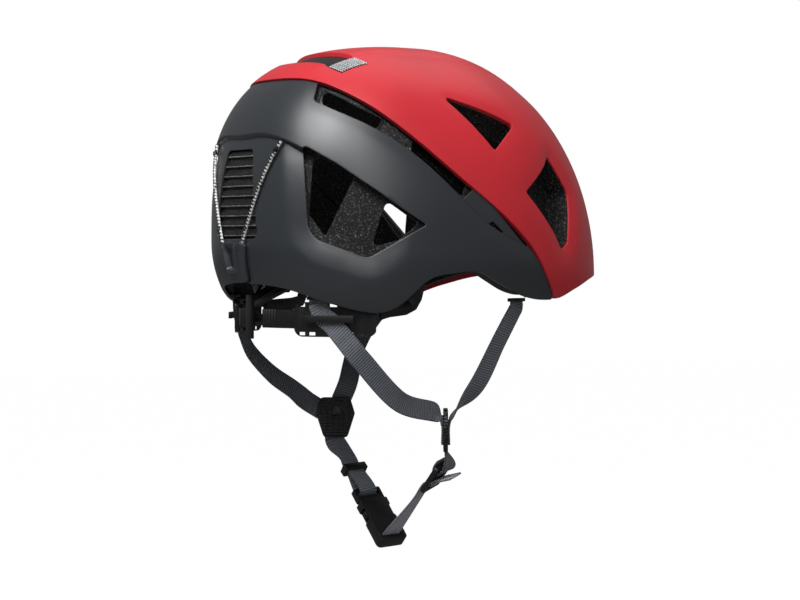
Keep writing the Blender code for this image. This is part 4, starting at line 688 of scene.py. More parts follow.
def slab(name, outer, inner, wrap=False, poles=None):
    """Solid between two like grids of points."""
    bm = bmesh.new()
    skins = [[[bm.verts.new(p) for p in row] for row in rows] for rows in (outer, inner)]
    for k, skin in enumerate(skins):
        grid_faces(bm, skin, wrap)
        if poles:
            tip = bm.verts.new(poles[k])
            for i, v in enumerate(skin[-1]):
                bm.faces.new((v, skin[-1][(i + 1) % len(skin[-1])], tip))
    edges = [(skins[0][0], skins[1][0])]
    if not poles:
        edges.append((skins[0][-1], skins[1][-1]))
    if not wrap:
        for end in (0, -1):
            edges.append(([r[end] for r in skins[0]], [r[end] for r in skins[1]]))
    for a, b in edges:
        grid_faces(bm, [a, b], wrap and len(a) == len(outer[0]))
    return add_object(name, bm)


def prism(outline, plane, side=1, inner=CUT_INNER, narrow=None, flare=()):
    """Cutter through a wall, from an outline on a drawing plane, flared out from a narrow one if given."""
    forward, up, out = plane_axes(plane, side)
    levels = [(d, narrow) for d in (inner, *flare[:1]) if narrow] + [
        (d, outline) for d in (flare[1] if narrow else inner, CUT_OUTER)]
    bm = bmesh.new()
    rings = [[bm.verts.new(forward * p.x + up * p.y + out * d) for p in edge] for d, edge in levels]
    bm.faces.new(rings[0])
    bm.faces.new(rings[-1])
    grid_faces(bm, rings, True)
    return add_object("cutter", bm)


def settle(piece):
    """Apply a piece's modifiers."""
    solid = piece.evaluated_get(bpy.context.evaluated_depsgraph_get())
    old = piece.data
    piece.data = bpy.data.meshes.new_from_object(solid)
    piece.modifiers.clear()
    bpy.data.meshes.remove(old)


def cut(piece, cutters, operation='DIFFERENCE'):
    """Cut a piece with prisms, and remove them."""
    for cutter in cutters:
        step = piece.modifiers.new("cut", 'BOOLEAN')
        step.operation = operation
        step.solver = 'EXACT'
        step.object = cutter
    bpy.context.view_layer.update()
    settle(piece)
    for cutter in cutters:
        bpy.data.objects.remove(cutter)


def soften(piece, angle=SHELL_SHARP):
    """Smooth shading, with the edges over an angle left sharp."""
    piece.data.shade_smooth()
    piece.data.set_sharp_from_angle(angle=math.radians(angle))


def round_edges(piece, width):
    """Small radius on a piece's sharp edges."""
    bm = bmesh.new()
    bm.from_mesh(piece.data)
    bmesh.ops.remove_doubles(bm, verts=bm.verts[:], dist=MERGE_DISTANCE)
    bmesh.ops.dissolve_limit(bm, angle_limit=math.radians(FLAT_ANGLE), verts=bm.verts[:],
                             edges=bm.edges[:])
    bm.to_mesh(piece.data)
    bm.free()
    step = piece.modifiers.new("edge", 'BEVEL')
    step.width = width
    step.segments = EDGE_SEGMENTS
    step.limit_method = 'ANGLE'
    step.angle_limit = math.radians(EDGE_SHARP)
    bpy.context.view_layer.update()
    settle(piece)


def place(piece, body, slot, look, *nodes):
    """Give a piece its finish, carry it on a body and let it stand for its nodes."""
    piece.data.materials.clear()
    piece.data.materials.append(look)
    if body:
        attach(piece, body)
    if nodes:
        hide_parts(*nodes)
    return piece


# Finishes

def add(tree, kind, values=None, stops=(), **settings):
    """One node with its settings: values are constants or sockets for its inputs, stops a ramp's colours."""
    made = tree.nodes.new(kind)
    for key, value in settings.items():
        setattr(made, key, value)
    for key, value in (values or {}).items():
        if isinstance(value, bpy.types.NodeSocket):
            tree.links.new(value, made.inputs[key])
        else:
            made.inputs[key].default_value = value
    if stops:
        elements = made.color_ramp.elements
        elements.remove(elements[1])
        elements[0].position = stops[0][0]
        for at, _ in stops[1:]:
            elements.new(at)
        for element, (_, colour) in zip(elements, stops):
            element.color = (*colour[:3], 1.0)
    return made


def finish(name, **constants):
    """Material with its constant sockets set, its tree and its shader."""
    made = bpy.data.materials.new(name)
    made.use_nodes = True
    shader = made.node_tree.nodes["Principled BSDF"]
    for key, value in constants.items():
        shader.inputs[key.replace("_", " ")].default_value = value
    return made, made.node_tree, shader


def per_mm(size_mm):
    """Texture scale in metres' space for a feature of a size in millimetres."""
    return 1000.0 / size_mm


def shade(colour, factor):
    """Colour made darker or lighter."""
    return tuple(min(c * factor, 1.0) for c in colour)


def moulded_abs(name, colour, roughness, ior=1.53):
    """Injection-moulded ABS with a spark-eroded tool grain: satin, with a faint change in gloss."""
    made, tree, shader = finish(name, IOR=ior)
    spot = add(tree, 'ShaderNodeTexCoord').outputs["Object"]
    # Tool grain is about 0.1 mm, drawn at 0.7 mm so that it shows; the gloss drifts over about 60 mm
    grain = add(tree, 'ShaderNodeTexNoise', {"Vector": spot, "Scale": per_mm(0.7), "Detail": 2.0})
    drift = add(tree, 'ShaderNodeTexNoise', {"Vector": spot, "Scale": per_mm(60), "Detail": 2.0})
    tone = add(tree, 'ShaderNodeValToRGB', {"Fac": drift.outputs["Fac"]},
               stops=[(0.3, shade(colour, 0.94)), (0.7, shade(colour, 1.06))])
    grained = add(tree, 'ShaderNodeMix', {"Factor": 0.08, "A": tone.outputs["Color"],
                                          "B": grain.outputs["Color"]},
                  data_type='RGBA', blend_type='OVERLAY')
    tree.links.new(grained.outputs["Result"], shader.inputs["Base Color"])
    gloss = add(tree, 'ShaderNodeMapRange', {"Value": drift.outputs["Fac"], "To Min": roughness - 0.03,
                                             "To Max": roughness + 0.05})
    tree.links.new(gloss.outputs["Result"], shader.inputs["Roughness"])
    edge = add(tree, 'ShaderNodeBevel', {"Radius": EDGE_SHINE}, samples=4)
    bump = add(tree, 'ShaderNodeBump', {"Height": grain.outputs["Fac"], "Strength": 0.08,
                                        "Distance": 0.0002, "Normal": edge.outputs["Normal"]})
    tree.links.new(bump.outputs["Normal"], shader.inputs["Normal"])
    return made


def bead_foam(name="bead_foam", ribbed=False):
    """Moulded polystyrene beads: black, with pale bead skins that catch the light, and on ribs a painted
    highlight of bright flecks along each foot.
    """
    made, tree, shader = finish(name, Roughness=0.60, Specular_IOR_Level=0.25)
    spot = add(tree, 'ShaderNodeTexCoord').outputs["Object"]
    # Beads of about 2.6 mm, with flecks of half a bead
    beads = add(tree, 'ShaderNodeTexVoronoi', {"Vector": spot, "Scale": per_mm(2.6)},
                feature='DISTANCE_TO_EDGE')
    flecks = add(tree, 'ShaderNodeTexNoise', {"Vector": spot, "Scale": per_mm(1.3), "Detail": 3.0,
                                              "Roughness": 0.7})
    foam, fleck = colours().foam, colours().fleck
    stops = [(0.52, foam), (0.62, shade(fleck, 0.22)), (0.72, shade(fleck, 0.8))]
    if ribbed:
        stops = [(0.52, shade(foam, 0.7)), (0.72, shade(fleck, 0.25))]
    tone = add(tree, 'ShaderNodeValToRGB', {"Fac": flecks.outputs["Fac"]}, stops=stops).outputs["Color"]
    if ribbed:
        height = add(tree, 'ShaderNodeSeparateXYZ', {"Vector": spot}).outputs["Z"]
        turn = add(tree, 'ShaderNodeMapRange', {"Value": height, "From Min": WINDOW_FOOT,
                                                "From Max": WINDOW_TOP, "To Max": PANEL_RIBS}, clamp=False)
        on_rib = add(tree, 'ShaderNodeMath', {0: turn.outputs["Result"]}, operation='FRACT')
        # Painted highlight: bright flecks in a band along each rib's proud foot, where the light catches its
        # edge
        foot = add(tree, 'ShaderNodeValToRGB', {"Fac": on_rib.outputs["Value"]},
                   stops=[(0.25, (0, 0, 0)), (0.28, (1, 1, 1)), (0.34, (1, 1, 1)), (0.40, (0, 0, 0))])
        painted_rib_highlight = add(tree, 'ShaderNodeValToRGB', {"Fac": flecks.outputs["Fac"]},
                     stops=[(0.36, shade(fleck, 0.3)), (0.48, shade(fleck, 1.2)), (0.58, shade(fleck, 3.0))])
        tone = add(tree, 'ShaderNodeMix', {"Factor": foot.outputs["Color"], "A": tone,
                                           "B": painted_rib_highlight.outputs["Color"]}, data_type='RGBA').outputs["Result"]
    tree.links.new(tone, shader.inputs["Base Color"])
    edge = add(tree, 'ShaderNodeBevel', {"Radius": EDGE_SHINE}, samples=4)
    bump = add(tree, 'ShaderNodeBump', {"Height": beads.outputs["Distance"], "Strength": 0.5,
                                        "Distance": 0.0004, "Normal": edge.outputs["Normal"]})
    tree.links.new(bump.outputs["Normal"], shader.inputs["Normal"])
    return made


def moulded_nylon(name="moulded_nylon", roughness=0.42, knurl_mm=0.0):
    """Glass-filled nylon: near black, half matt, with a fine uneven skin, or with a diamond grip."""
    made, tree, shader = finish(name, IOR=1.45)
    spot = add(tree, 'ShaderNodeTexCoord').outputs["Object"]
    # Skin is uneven over about 0.3 mm, drawn at 1.2 mm so that it shows
    skin = add(tree, 'ShaderNodeTexNoise', {"Vector": spot, "Scale": per_mm(1.2), "Detail": 3.0})
    colour = colours().nylon
    tone = add(tree, 'ShaderNodeValToRGB', {"Fac": skin.outputs["Fac"]},
               stops=[(0.3, shade(colour, 0.8)), (0.7, shade(colour, 1.3))])
    tree.links.new(tone.outputs["Color"], shader.inputs["Base Color"])
    gloss = add(tree, 'ShaderNodeMapRange', {"Value": skin.outputs["Fac"], "To Min": roughness - 0.06,
                                             "To Max": roughness + 0.08})
    tree.links.new(gloss.outputs["Result"], shader.inputs["Roughness"])
    bump = add(tree, 'ShaderNodeBump', {"Height": skin.outputs["Fac"], "Strength": 0.10,
                                        "Distance": 0.0002})
    if knurl_mm:
        waves = []
        for lean in (1.0, -1.0):
            run = add(tree, 'ShaderNodeVectorMath', {0: spot, 1: (lean * 0.5, -lean * 0.866, 1.0)},
                      operation='DOT_PRODUCT')
            turn = add(tree, 'ShaderNodeMath', {0: run.outputs["Value"], 1: math.pi * per_mm(knurl_mm)},
                       operation='MULTIPLY')
            waves.append(add(tree, 'ShaderNodeMath', {0: turn.outputs["Value"]}, operation='SINE'))
        both = add(tree, 'ShaderNodeMath', {0: waves[0].outputs["Value"], 1: waves[1].outputs["Value"]},
                   operation='MULTIPLY')
        bump = add(tree, 'ShaderNodeBump', {"Height": both.outputs["Value"], "Strength": 0.8,
                                            "Distance": 0.0004, "Normal": bump.outputs["Normal"]})
    tree.links.new(bump.outputs["Normal"], shader.inputs["Normal"])
    return made


def ribbed_webbing(name, colour):
    """Woven polyester tape: warp ribs across the tape, with painted shade between them and painted highlights
    on their crowns.
    """
    made, tree, shader = finish(name, Roughness=0.72, Sheen_Weight=0.25, Sheen_Roughness=0.5)
    weave = add(tree, 'ShaderNodeAttribute', attribute_name="weave")
    parts = add(tree, 'ShaderNodeSeparateXYZ', {"Vector": weave.outputs["Vector"]})
    # The attribute holds the height of the ribs (x) and millimetres across (y) and along (z) the tape,
    # so threads of about 0.45 mm have a scale of 2.2
    thread = add(tree, 'ShaderNodeTexNoise', {"Vector": weave.outputs["Vector"], "Scale": 2.2,
                                              "Detail": 2.0})
    # Painted shade in the grooves and painted highlight on the crowns, following the ribs' height
    tone = add(tree, 'ShaderNodeValToRGB', {"Fac": parts.outputs["X"]},
               stops=[(0.10, shade(colour, 0.12)), (0.62, colour), (1.0, shade(colour, 1.5))])
    threads_over_painted_ribs = add(tree, 'ShaderNodeMix', {"Factor": 0.35, "A": tone.outputs["Color"],
                                       "B": thread.outputs["Color"]},
               data_type='RGBA', blend_type='OVERLAY')
    tree.links.new(threads_over_painted_ribs.outputs["Result"], shader.inputs["Base Color"])
    bump = add(tree, 'ShaderNodeBump', {"Height": thread.outputs["Fac"], "Strength": 0.25,
                                        "Distance": 0.0002})
    tree.links.new(bump.outputs["Normal"], shader.inputs["Normal"])
    return made


def braided_cord():
    """Braided sheath: black yarn with white flecks in a turning pattern."""
    made, tree, shader = finish("braided_cord", Roughness=0.7)
    # The attribute turns with the braid and steps by one each pitch of 2.4 mm, so a check is one yarn
    weave = add(tree, 'ShaderNodeAttribute', attribute_name="weave")
    check = add(tree, 'ShaderNodeTexChecker', {"Vector": weave.outputs["Vector"], "Scale": 1.0,
                                               "Color1": (*linear("#101012"), 1),
                                               "Color2": (*linear("#DADBD6"), 1)})
    noise = add(tree, 'ShaderNodeTexNoise', {"Vector": weave.outputs["Vector"], "Scale": 1.3})
    mask = add(tree, 'ShaderNodeMapRange', {"Value": noise.outputs["Fac"], "From Min": 0.38,
                                            "From Max": 0.46})
    tone = add(tree, 'ShaderNodeMix', {"Factor": mask.outputs["Result"], "A": (*linear("#131315"), 1),
                                       "B": check.outputs["Color"]}, data_type='RGBA')
    tree.links.new(tone.outputs["Result"], shader.inputs["Base Color"])
    return made


def silver_wire():
    """Drawn silver-grey wire of the woven insect mesh: a dull sheen, a little uneven along each wire."""
    made, tree, shader = finish("silver_wire", Roughness=0.45, Metallic=0.3)
    spot = add(tree, 'ShaderNodeTexCoord').outputs["Object"]
    noise = add(tree, 'ShaderNodeTexNoise', {"Vector": spot, "Scale": per_mm(3)})
    colour = colours().mesh
    tone = add(tree, 'ShaderNodeValToRGB', {"Fac": noise.outputs["Fac"]},
               stops=[(0.35, shade(colour, 0.75)), (0.65, colour)])
    tree.links.new(tone.outputs["Color"], shader.inputs["Base Color"])
    return made


def brushed_pad():
    """Brushed polyester over soft foam: grey, with a short nap."""
    made, tree, shader = finish("brushed_pad", Roughness=0.95, Sheen_Weight=0.6, Sheen_Roughness=0.4)
    spot = add(tree, 'ShaderNodeTexCoord').outputs["Object"]
    # Nap is about 0.3 mm, drawn at 1.1 mm so that it shows
    nap = add(tree, 'ShaderNodeTexNoise', {"Vector": spot, "Scale": per_mm(1.1), "Detail": 4.0})
    colour = colours().pad
    tone = add(tree, 'ShaderNodeValToRGB', {"Fac": nap.outputs["Fac"]},
               stops=[(0.3, shade(colour, 0.6)), (0.7, shade(colour, 1.3))])
    tree.links.new(tone.outputs["Color"], shader.inputs["Base Color"])
    bump = add(tree, 'ShaderNodeBump', {"Height": nap.outputs["Fac"], "Strength": 0.4, "Distance": 0.0004})
    tree.links.new(bump.outputs["Normal"], shader.inputs["Normal"])
    return made


LOOKS = {}


def look(name):
    """Finish by name, made once."""
    makers = {
        "red": lambda: moulded_abs("red_moulded_abs", colours().red, roughness=0.40),
        "grey": lambda: moulded_abs("charcoal_moulded_abs", colours().grey, roughness=0.36, ior=1.66),
        "foam": bead_foam,
        "ribbed": lambda: bead_foam("ribbed_bead_foam", ribbed=True),
        "nylon": moulded_nylon,
        "gloss": lambda: moulded_nylon("polished_nylon", roughness=0.22),
        "knurl": lambda: moulded_nylon("knurled_nylon", roughness=0.36, knurl_mm=2.2),
        "web": lambda: ribbed_webbing("ribbed_webbing", colours().webbing),
        "chin_web": lambda: ribbed_webbing("chin_webbing", colours().chin),
        "cord": braided_cord,
        "wire": silver_wire,
        "pad": brushed_pad,
    }
    if name not in LOOKS:
        LOOKS[name] = makers[name]()
    return LOOKS[name]


# Shells and foam

def upper_rows(columns, count, depth_at, foam=False):
    """Rows from the parting line or brim up to just below the crown."""
    rows = [[] for _ in range(count + 1)]
    for k in range(columns):
        theta = 2 * math.pi * k / columns
        low = max(split_rise(theta), rim_rise(theta))
        rises = [low + (math.pi / 2 - low) * r / (count + 1) for r in range(count + 1)]
        if foam:
            rises[0] = max(split_rise(theta), rim_rise(theta, True))
        for row, phi in zip(rows, rises):
            row.append(dome_point(theta, phi, depth_at(dome_point(theta, phi))))
    return rows


def lower_column(theta, depth, foam, under, over):
    """Points of one column: rim, panel, rounded ledge and band."""
    low, high = rim_rise(theta), split_rise(theta) - math.radians(SEAM_DEG)
    least, most = (low + (high - low) * share for share in LEDGE_LIMITS)
    ledge = min(max(ledge_rise(theta), least), most)
    lip = math.radians(LEDGE_LIP_DEG)
    floor = rim_rise(theta, True) if foam else low
    step = min(math.radians(FOAM_LEDGE_DEG), (high - ledge) * FOAM_LEDGE_SHARE) if foam else 0.0
    top = ledge - lip + step
    column = []
    for r in range(under + 1):
        phi = floor + (top - floor) * r / under
        column.append(dome_point(theta, phi, depth + recess(theta, phi)))
    for share, up in LEDGE_CURVE:
        column.append(dome_point(theta, top + lip * up, depth + share * recess(theta, top)))
    for r in range(over + 1):
        phi = ledge + step + (high - ledge - step) * r / over
        p = dome_point(theta, phi)
        column.append(dome_point(theta, phi, depth + (0.0 if foam else band_relief(p))))
    return column


def lower_rows(columns, under, over, depth, foam=False):
    """Rows from the rim, over the ledge, to the parting line, open at the front."""
    meet = meeting_heading()
    built = [lower_column(meet * (2 * k / columns - 1), depth, foam, under, over)
             for k in range(columns + 1)]
    return [list(row) for row in zip(*built)]


def crown_slot_outline(grow=0.0):
    """Bowed slot across the rear of the crown, drawn from above and moved out by grow."""
    run = [-1 + 2 * k / CROWN_SLOT_STEPS for k in range(CROWN_SLOT_STEPS + 1)]
    front, rear = ([Vector((t * (CROWN_SLOT_HALF + grow), level + CROWN_SLOT_BOW * t * t + out)) for t in run]
                   for level, out in ((CROWN_SLOT_FRONT, grow), (CROWN_SLOT_REAR, -grow)))
    return front + rear[::-1]


def window_corners():
    """Corners of the rear window, from its top left round to its top right."""
    half = [(-WINDOW_TOP_HALF, WINDOW_TOP), (-WINDOW_FOOT_HALF, WINDOW_FOOT)]
    return [(x, z, WINDOW_RADIUS) for x, z in half + [(-x, z) for x, z in reversed(half)]]


def both_sides(corners, plane, grow=0.0):
    """Cutters for one outline on the right and on the left."""
    return [prism(rounded(corners, grow=grow), plane, side) for _, side in SIDES]


def make_upper_shell():
    """Red shell with its crown relief, vents and crown slot."""
    proud = sizes().lip
    skins = [upper_rows(UPPER_COLUMNS, UPPER_ROWS, lambda p: -proud - crown_relief(p)),
             upper_rows(UPPER_COLUMNS, UPPER_ROWS, lambda p: SHELL_WALL)]
    poles = [dome_point(0, math.pi / 2, d) for d in (-proud, SHELL_WALL)]
    shell = slab("upper_shell_moulding", *skins, True, poles)
    cut(shell, both_sides(CROWN_VENT, CROWN_VENT_PLANE) + both_sides(FRONT_VENT, FRONT_VENT_PLANE)
        + [prism(crown_slot_outline(), TOP_PLANE, inner=CROWN_HEIGHT / 2)])
    soften(shell)
    place(shell, "root", "red_shell", look("red"), "upper_shell")


def make_lower_shell():
    """Charcoal shell with its ledge, side vents, side slots and rear window."""
    skins = [lower_rows(LOWER_COLUMNS, LOWER_ROWS_UNDER, LOWER_ROWS_BAND, d) for d in (0.0, SHELL_WALL)]
    shell = slab("lower_shell_moulding", *skins)
    cut(shell, both_sides(SIDE_VENT, SIDE_PLANE) + both_sides(SLOT, SIDE_PLANE)
        + [prism(rounded(window_corners()), REAR_PLANE)])
    soften(shell)
    place(shell, "root", "grey_shell", look("grey"), "lower_shell")


def slot_hollows(near):
    """Cutters for the hollow in the foam between each side slot's pocket and its clip."""
    made = []
    for _, side in SIDES:
        hollow = dome_patch("cutter", HOLLOW_PATCH, side, near - HOLLOW_PROUD, near + HOLLOW_DEPTH)
        cut(hollow, [prism(rounded(SLOT_HOLLOW), SIDE_PLANE, side)], 'INTERSECT')
        made.append(hollow)
    return made


def make_foam():
    """Both halves of the liner, with the vents, pockets and hollows cut in them."""
    near = SHELL_WALL + FIT_GAP
    far = near + FOAM_WALL
    rows = [upper_rows(FOAM_COLUMNS, FOAM_ROWS, lambda p, d=d: d, True) for d in (near, far)]
    poles = [dome_point(0, math.pi / 2, d) for d in (near, far)]
    front = slab("foam_front_liner", *rows, True, poles)
    pocket = POCKET_FRAME_WALL + FIT_GAP
    cut(front, both_sides(CROWN_VENT, CROWN_VENT_PLANE) + [
        prism(rounded(FRONT_VENT), FRONT_VENT_PLANE, side, narrow=rounded(FRONT_VENT_INNER),
              flare=FRONT_VENT_FLARE) for _, side in SIDES]
        + both_sides(SLOT_POCKET, SIDE_PLANE, pocket) + slot_hollows(near))
    soften(front)
    place(front, "root", "foam", look("foam"), "foam_front")
    near = SHELL_WALL + FOAM_GAP
    far = near + FOAM_WALL
    rows = [lower_rows(FOAM_COLUMNS, FOAM_ROWS, FOAM_ROWS // 2, d, True) for d in (near, far)]
    rear = slab("foam_rear_liner", *rows)
    cut(rear, both_sides(FOAM_HOLE_REAR, SIDE_PLANE) + both_sides(FOAM_HOLE_FRONT, SIDE_PLANE)
        + both_sides(SLOT_POCKET, SIDE_PLANE, pocket) + slot_hollows(near))
    soften(rear)
    place(rear, "root", "foam", look("foam"), "foam_rear")


# Rear window, tab and bungee

def rear_point(x, z, inset=0.0):
    """Point of the recessed rear panel at a given X and height."""
    theta = 0.0
    for _ in range(PANEL_ROUNDS):
        phi = rise_where(theta, lambda y: z)
        p = dome_point(theta, phi, inset + recess(theta, phi))
        theta = math.atan2(-x, p.y)
    return Vector((x, p.y, z))


def rear_slab(name, half, low, high, depth_at, inner, columns, rows):
    """Slab that follows the rear panel, with its outer depth given by X and height."""
    across = [half * (2 * c / columns - 1) for c in range(columns + 1)]
    levels = [low + (high - low) * r / rows for r in range(rows + 1)]
    skins = ([], [])
    for z in levels:
        base = [rear_point(x, z) for x in across]
        for skin, depth in zip(skins, (depth_at, lambda x, z: inner)):
            skin.append([p - Vector((0, depth(p.x, z), 0)) for p in base])
    return slab(name, *skins)


def make_rear_window():
    """Ribbed foam panel: each rib leans out to a sharp foot over a dark groove."""
    back = SHELL_WALL + FOAM_GAP - FIT_GAP
    floor = back - PANEL_WALL
    pitch = (WINDOW_TOP - WINDOW_FOOT) / PANEL_RIBS

    def depth(x, z):
        t = ((z - WINDOW_FOOT) / pitch) % 1.0
        rib = ease(*RIB_FOOT, t) * (1 - RIB_FALL * ease(RIB_FOOT[1], RIB_TOP, t))
        return floor + RIB_GROOVE - RIB_RISE * rib
    panel = rear_slab("rear_rib_panel_foam", WINDOW_FOOT_HALF, WINDOW_FOOT, WINDOW_TOP, depth, back,
                      PANEL_COLUMNS, PANEL_RIBS * RIB_ROWS)
    cut(panel, [prism(rounded(window_corners(), grow=-3 * FIT_GAP), REAR_PLANE)], 'INTERSECT')
    soften(panel, PANEL_SHARP)
    place(panel, "root", "foam", look("ribbed"), "rear_rib_panel")


def tab_relief(x, z):
    """Pull tab's face: hollow in the middle, raised U round it and grip dots below."""
    tall = TAB_TOP - TAB_FOOT
    t = (z - TAB_FOOT) / tall
    side = abs(x) - (TAB_HOLLOW_HALF + TAB_HOLLOW_SPREAD * t)
    outside = max(side / TAB_SIDE_REACH, (TAB_HOLLOW_FOOT - t) / TAB_FOOT_REACH)
    rim = TAB_FOOT_HALF + (TAB_TOP_HALF - TAB_FOOT_HALF) * t - abs(x)
    rise = TAB_RIDGE * math.exp(-(outside / TAB_RIDGE_WIDTH) ** 2) * ease(*TAB_RIDGE_FADE, t)
    rise -= TAB_EDGE_FALL * ease(TAB_EDGE_REACH, 0.0, rim)
    rise -= TAB_HOLLOW_DEPTH * ease(*TAB_HOLLOW_SIDE, outside) * ease(*TAB_HOLLOW_TOP, t)
    for k in range(TAB_DOTS):
        for level in TAB_DOT_LEVELS:
            away = math.hypot(x - (k - (TAB_DOTS - 1) / 2) * TAB_DOT_PITCH, z - TAB_FOOT - level * tall)
            rise += TAB_DOT_RISE * ease(*TAB_DOT_FADE, away)
    return rise


def make_tab():
    """Pull tab below the rear window."""
    corners = [(-TAB_TOP_HALF, TAB_TOP, TAB_TOP_RADIUS), (-TAB_FOOT_HALF, TAB_FOOT, TAB_FOOT_RADIUS),
               (TAB_FOOT_HALF, TAB_FOOT, TAB_FOOT_RADIUS), (TAB_TOP_HALF, TAB_TOP, TAB_TOP_RADIUS)]
    margin = TAB_TOP_RADIUS
    tab = rear_slab("bungee_tab_moulding", TAB_TOP_HALF + margin, TAB_FOOT - margin, TAB_TOP + margin,
                    lambda x, z: -FIT_GAP - TAB_THICK - tab_relief(x, z), -FIT_GAP, *TAB_GRID)
    cut(tab, [prism(rounded(corners), REAR_PLANE)], 'INTERSECT')
    soften(tab, MOULDED_SHARP)
    place(tab, "tab", "grey_shell", look("grey"), "bungee_tab")


def cord_route(side, steps):
    """Points of one strand from under the ledge, through its anchor, to its seat in the tab."""
    lift = FIT_GAP + TAB_THICK / 2
    top = Vector((-ANCHOR_X * side, ANCHOR_Z))
    foot = Vector((-CORD_FOOT_X * side, TAB_TOP - CORD_SEAT))
    start = top - (foot - top).normalized() * CORD_TUCK
    sag = lift - sizes().cord / 2 - FIT_GAP
    return [rear_point(*start.lerp(foot, k / steps), sag * math.sin(math.pi * k / steps) ** 0.5 - lift)
            for k in range(steps + 1)]


def tube(name, path, radius):
    """Round cord along a path, with pitches along it and turns round it kept for its braid."""
    bm = bmesh.new()
    layer = bm.verts.layers.float_vector.new("weave")
    rings = []
    run = 0.0
    for k, p in enumerate(path):
        along = (path[min(k + 1, len(path) - 1)] - path[max(k - 1, 0)]).normalized()
        across = along.cross(Vector((0, 1, 0))).normalized()
        run += (p - path[k - 1]).length if k else 0.0
        ring = []
        for i in range(CORD_SIDES):
            a = 2 * math.pi * i / CORD_SIDES
            v = bm.verts.new(p + (across * math.cos(a) + along.cross(across) * math.sin(a)) * radius)
            turn = 2 * i / CORD_SIDES
            v[layer] = (run / BRAID_PITCH + turn, run / BRAID_PITCH - turn, 0.5)
            ring.append(v)
        rings.append(ring)
    close_tube(bm, rings)
    piece = add_object(name, bm)
    soften(piece, ROUND_SHARP)
    return piece


def make_bungee():
    """Two strands of cord from their sleeves to the tab, built in place on no body."""
    for name, side in SIDES:
        route = smooth_path(cord_route(side, CORD_STATIONS), CORD_STEPS)
        strand = tube("bungee_strand_" + name, route, sizes().cord / 2)
        place(strand, None, "bungee", look("cord"), "bungee_cord_" + name)
        spot = rear_point(-ANCHOR_X * side, ANCHOR_Z, -FIT_GAP - TAB_THICK / 2)
        run = (route[-1] - route[0]).normalized()
        sleeve = tube("bungee_sleeve_" + name, [spot + run * ANCHOR_RUN * (k / SLEEVE_STEPS - 0.5)
                                                for k in range(SLEEVE_STEPS + 1)],
                      sizes().cord * SLEEVE_SHARE)
        round_edges(sleeve, sizes().edge)
        soften(sleeve, MOULDED_SHARP)
        place(sleeve, "root", "black_nylon", look("nylon"), "bungee_anchor_" + name)
        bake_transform(strand)


# Slot fittings and the crown's mesh

def dome_patch(name, patch, side, outer, inner):
    """Slab of one side of the dome between two headings, two rises and two depths."""
    headings, rises, columns, rows = patch
    headings = [deg * side for deg in headings]
    skins = []
    for depth in (outer, inner):
        skins.append([[dome_point(math.radians(headings[0] + (headings[1] - headings[0]) * c / columns),
                                  math.radians(rises[0] + (rises[1] - rises[0]) * r / rows), depth)
                       for c in range(columns + 1)] for r in range(rows + 1)])
    return slab(name, *skins)


def make_slot_fittings():
    """Pocket frames and headlamp clips in the side slots."""
    near = SHELL_WALL + FOAM_GAP
    for name, side in SIDES:
        ring = dome_patch("slot_frame_moulding_" + name, FRAME_PATCH, side, near - 2 * FIT_GAP,
                          near + FOAM_WALL / 2)
        cut(ring, [prism(rounded(SLOT_POCKET, grow=POCKET_FRAME_WALL), SIDE_PLANE, side)], 'INTERSECT')
        cut(ring, [prism(rounded(SLOT_POCKET), SIDE_PLANE, side)])
        soften(ring)
        place(ring, "root", "black_nylon", look("gloss"), "slot_frame_" + name)
        clip = dome_patch("headlamp_clip_moulding_" + name, CLIP_PATCH, side,
                          *(SHELL_WALL * share for share in CLIP_DEPTHS))
        cut(clip, [prism(rounded(CLIP), SIDE_PLANE, side)], 'INTERSECT')
        cut(clip, [prism(rounded(CLIP_HOLE, steps=3), SIDE_PLANE, side)])
        soften(clip)
        place(clip, "root", "black_nylon", look("grey"), "headlamp_clip_" + name)


def make_crown_mesh():
    """Woven wires in both ends of the crown slot, and between them a dark plate as painted shade for the
    slot's shadowed inside.
    """
    across = int((CROWN_SLOT_HALF - MESH_INNER_HALF) / MESH_PITCH) + 1
    rows = int((CROWN_SLOT_FRONT - CROWN_SLOT_REAR) / MESH_PITCH)
    bm = bmesh.new()
    for side in (1, -1):
        for k in range(across):
            x = MESH_INNER_HALF + k * MESH_PITCH
            wire(bm, [mesh_point(side * x, y / MESH_ALONG) for y in range(MESH_ALONG + 1)])
        for k in range(rows):
            run = [MESH_INNER_HALF + (CROWN_SLOT_HALF - MESH_INNER_HALF) * x / MESH_ACROSS
                   for x in range(MESH_ACROSS + 1)]
            wire(bm, [mesh_point(side * x, (k + 0.5) / rows) for x in run])
    mesh = add_object("crown_vent_wires", bm)
    soften(mesh, ROUND_SHARP)
    place(mesh, "root", "silver_mesh", look("wire"), "crown_vent_mesh")
    # Painted shade: a dark plate put where the inside of the slot lies in shade
    shade_plate = dome_patch("crown_slot_shade_plate", SHADE_PLATE_PATCH, 1, SHELL_WALL * SHADE_PLATE_DEPTH, SHELL_WALL)
    outline = crown_slot_outline(-FIT_GAP)
    cut(shade_plate, [prism(outline, TOP_PLANE, inner=CROWN_HEIGHT / 2)], 'INTERSECT')
    soften(shade_plate)
    place(shade_plate, "root", "black_nylon", look("nylon"))


def mesh_point(x, share):
    """Point of the mesh at an X and a share of the slot's breadth from its front edge."""
    t = x / CROWN_SLOT_HALF
    y = -(CROWN_SLOT_FRONT + (CROWN_SLOT_REAR - CROWN_SLOT_FRONT) * share + CROWN_SLOT_BOW * t * t)
    theta = math.atan2(-x, y)

    def beyond(phi):
        p = dome_point(theta, phi)
        return math.hypot(p.x, p.y) > math.hypot(x, y)
    low, _ = halve(0.0, math.pi / 2, beyond, MESH_ROUNDS)
    return dome_point(theta, low, SHELL_WALL * MESH_DEPTH)


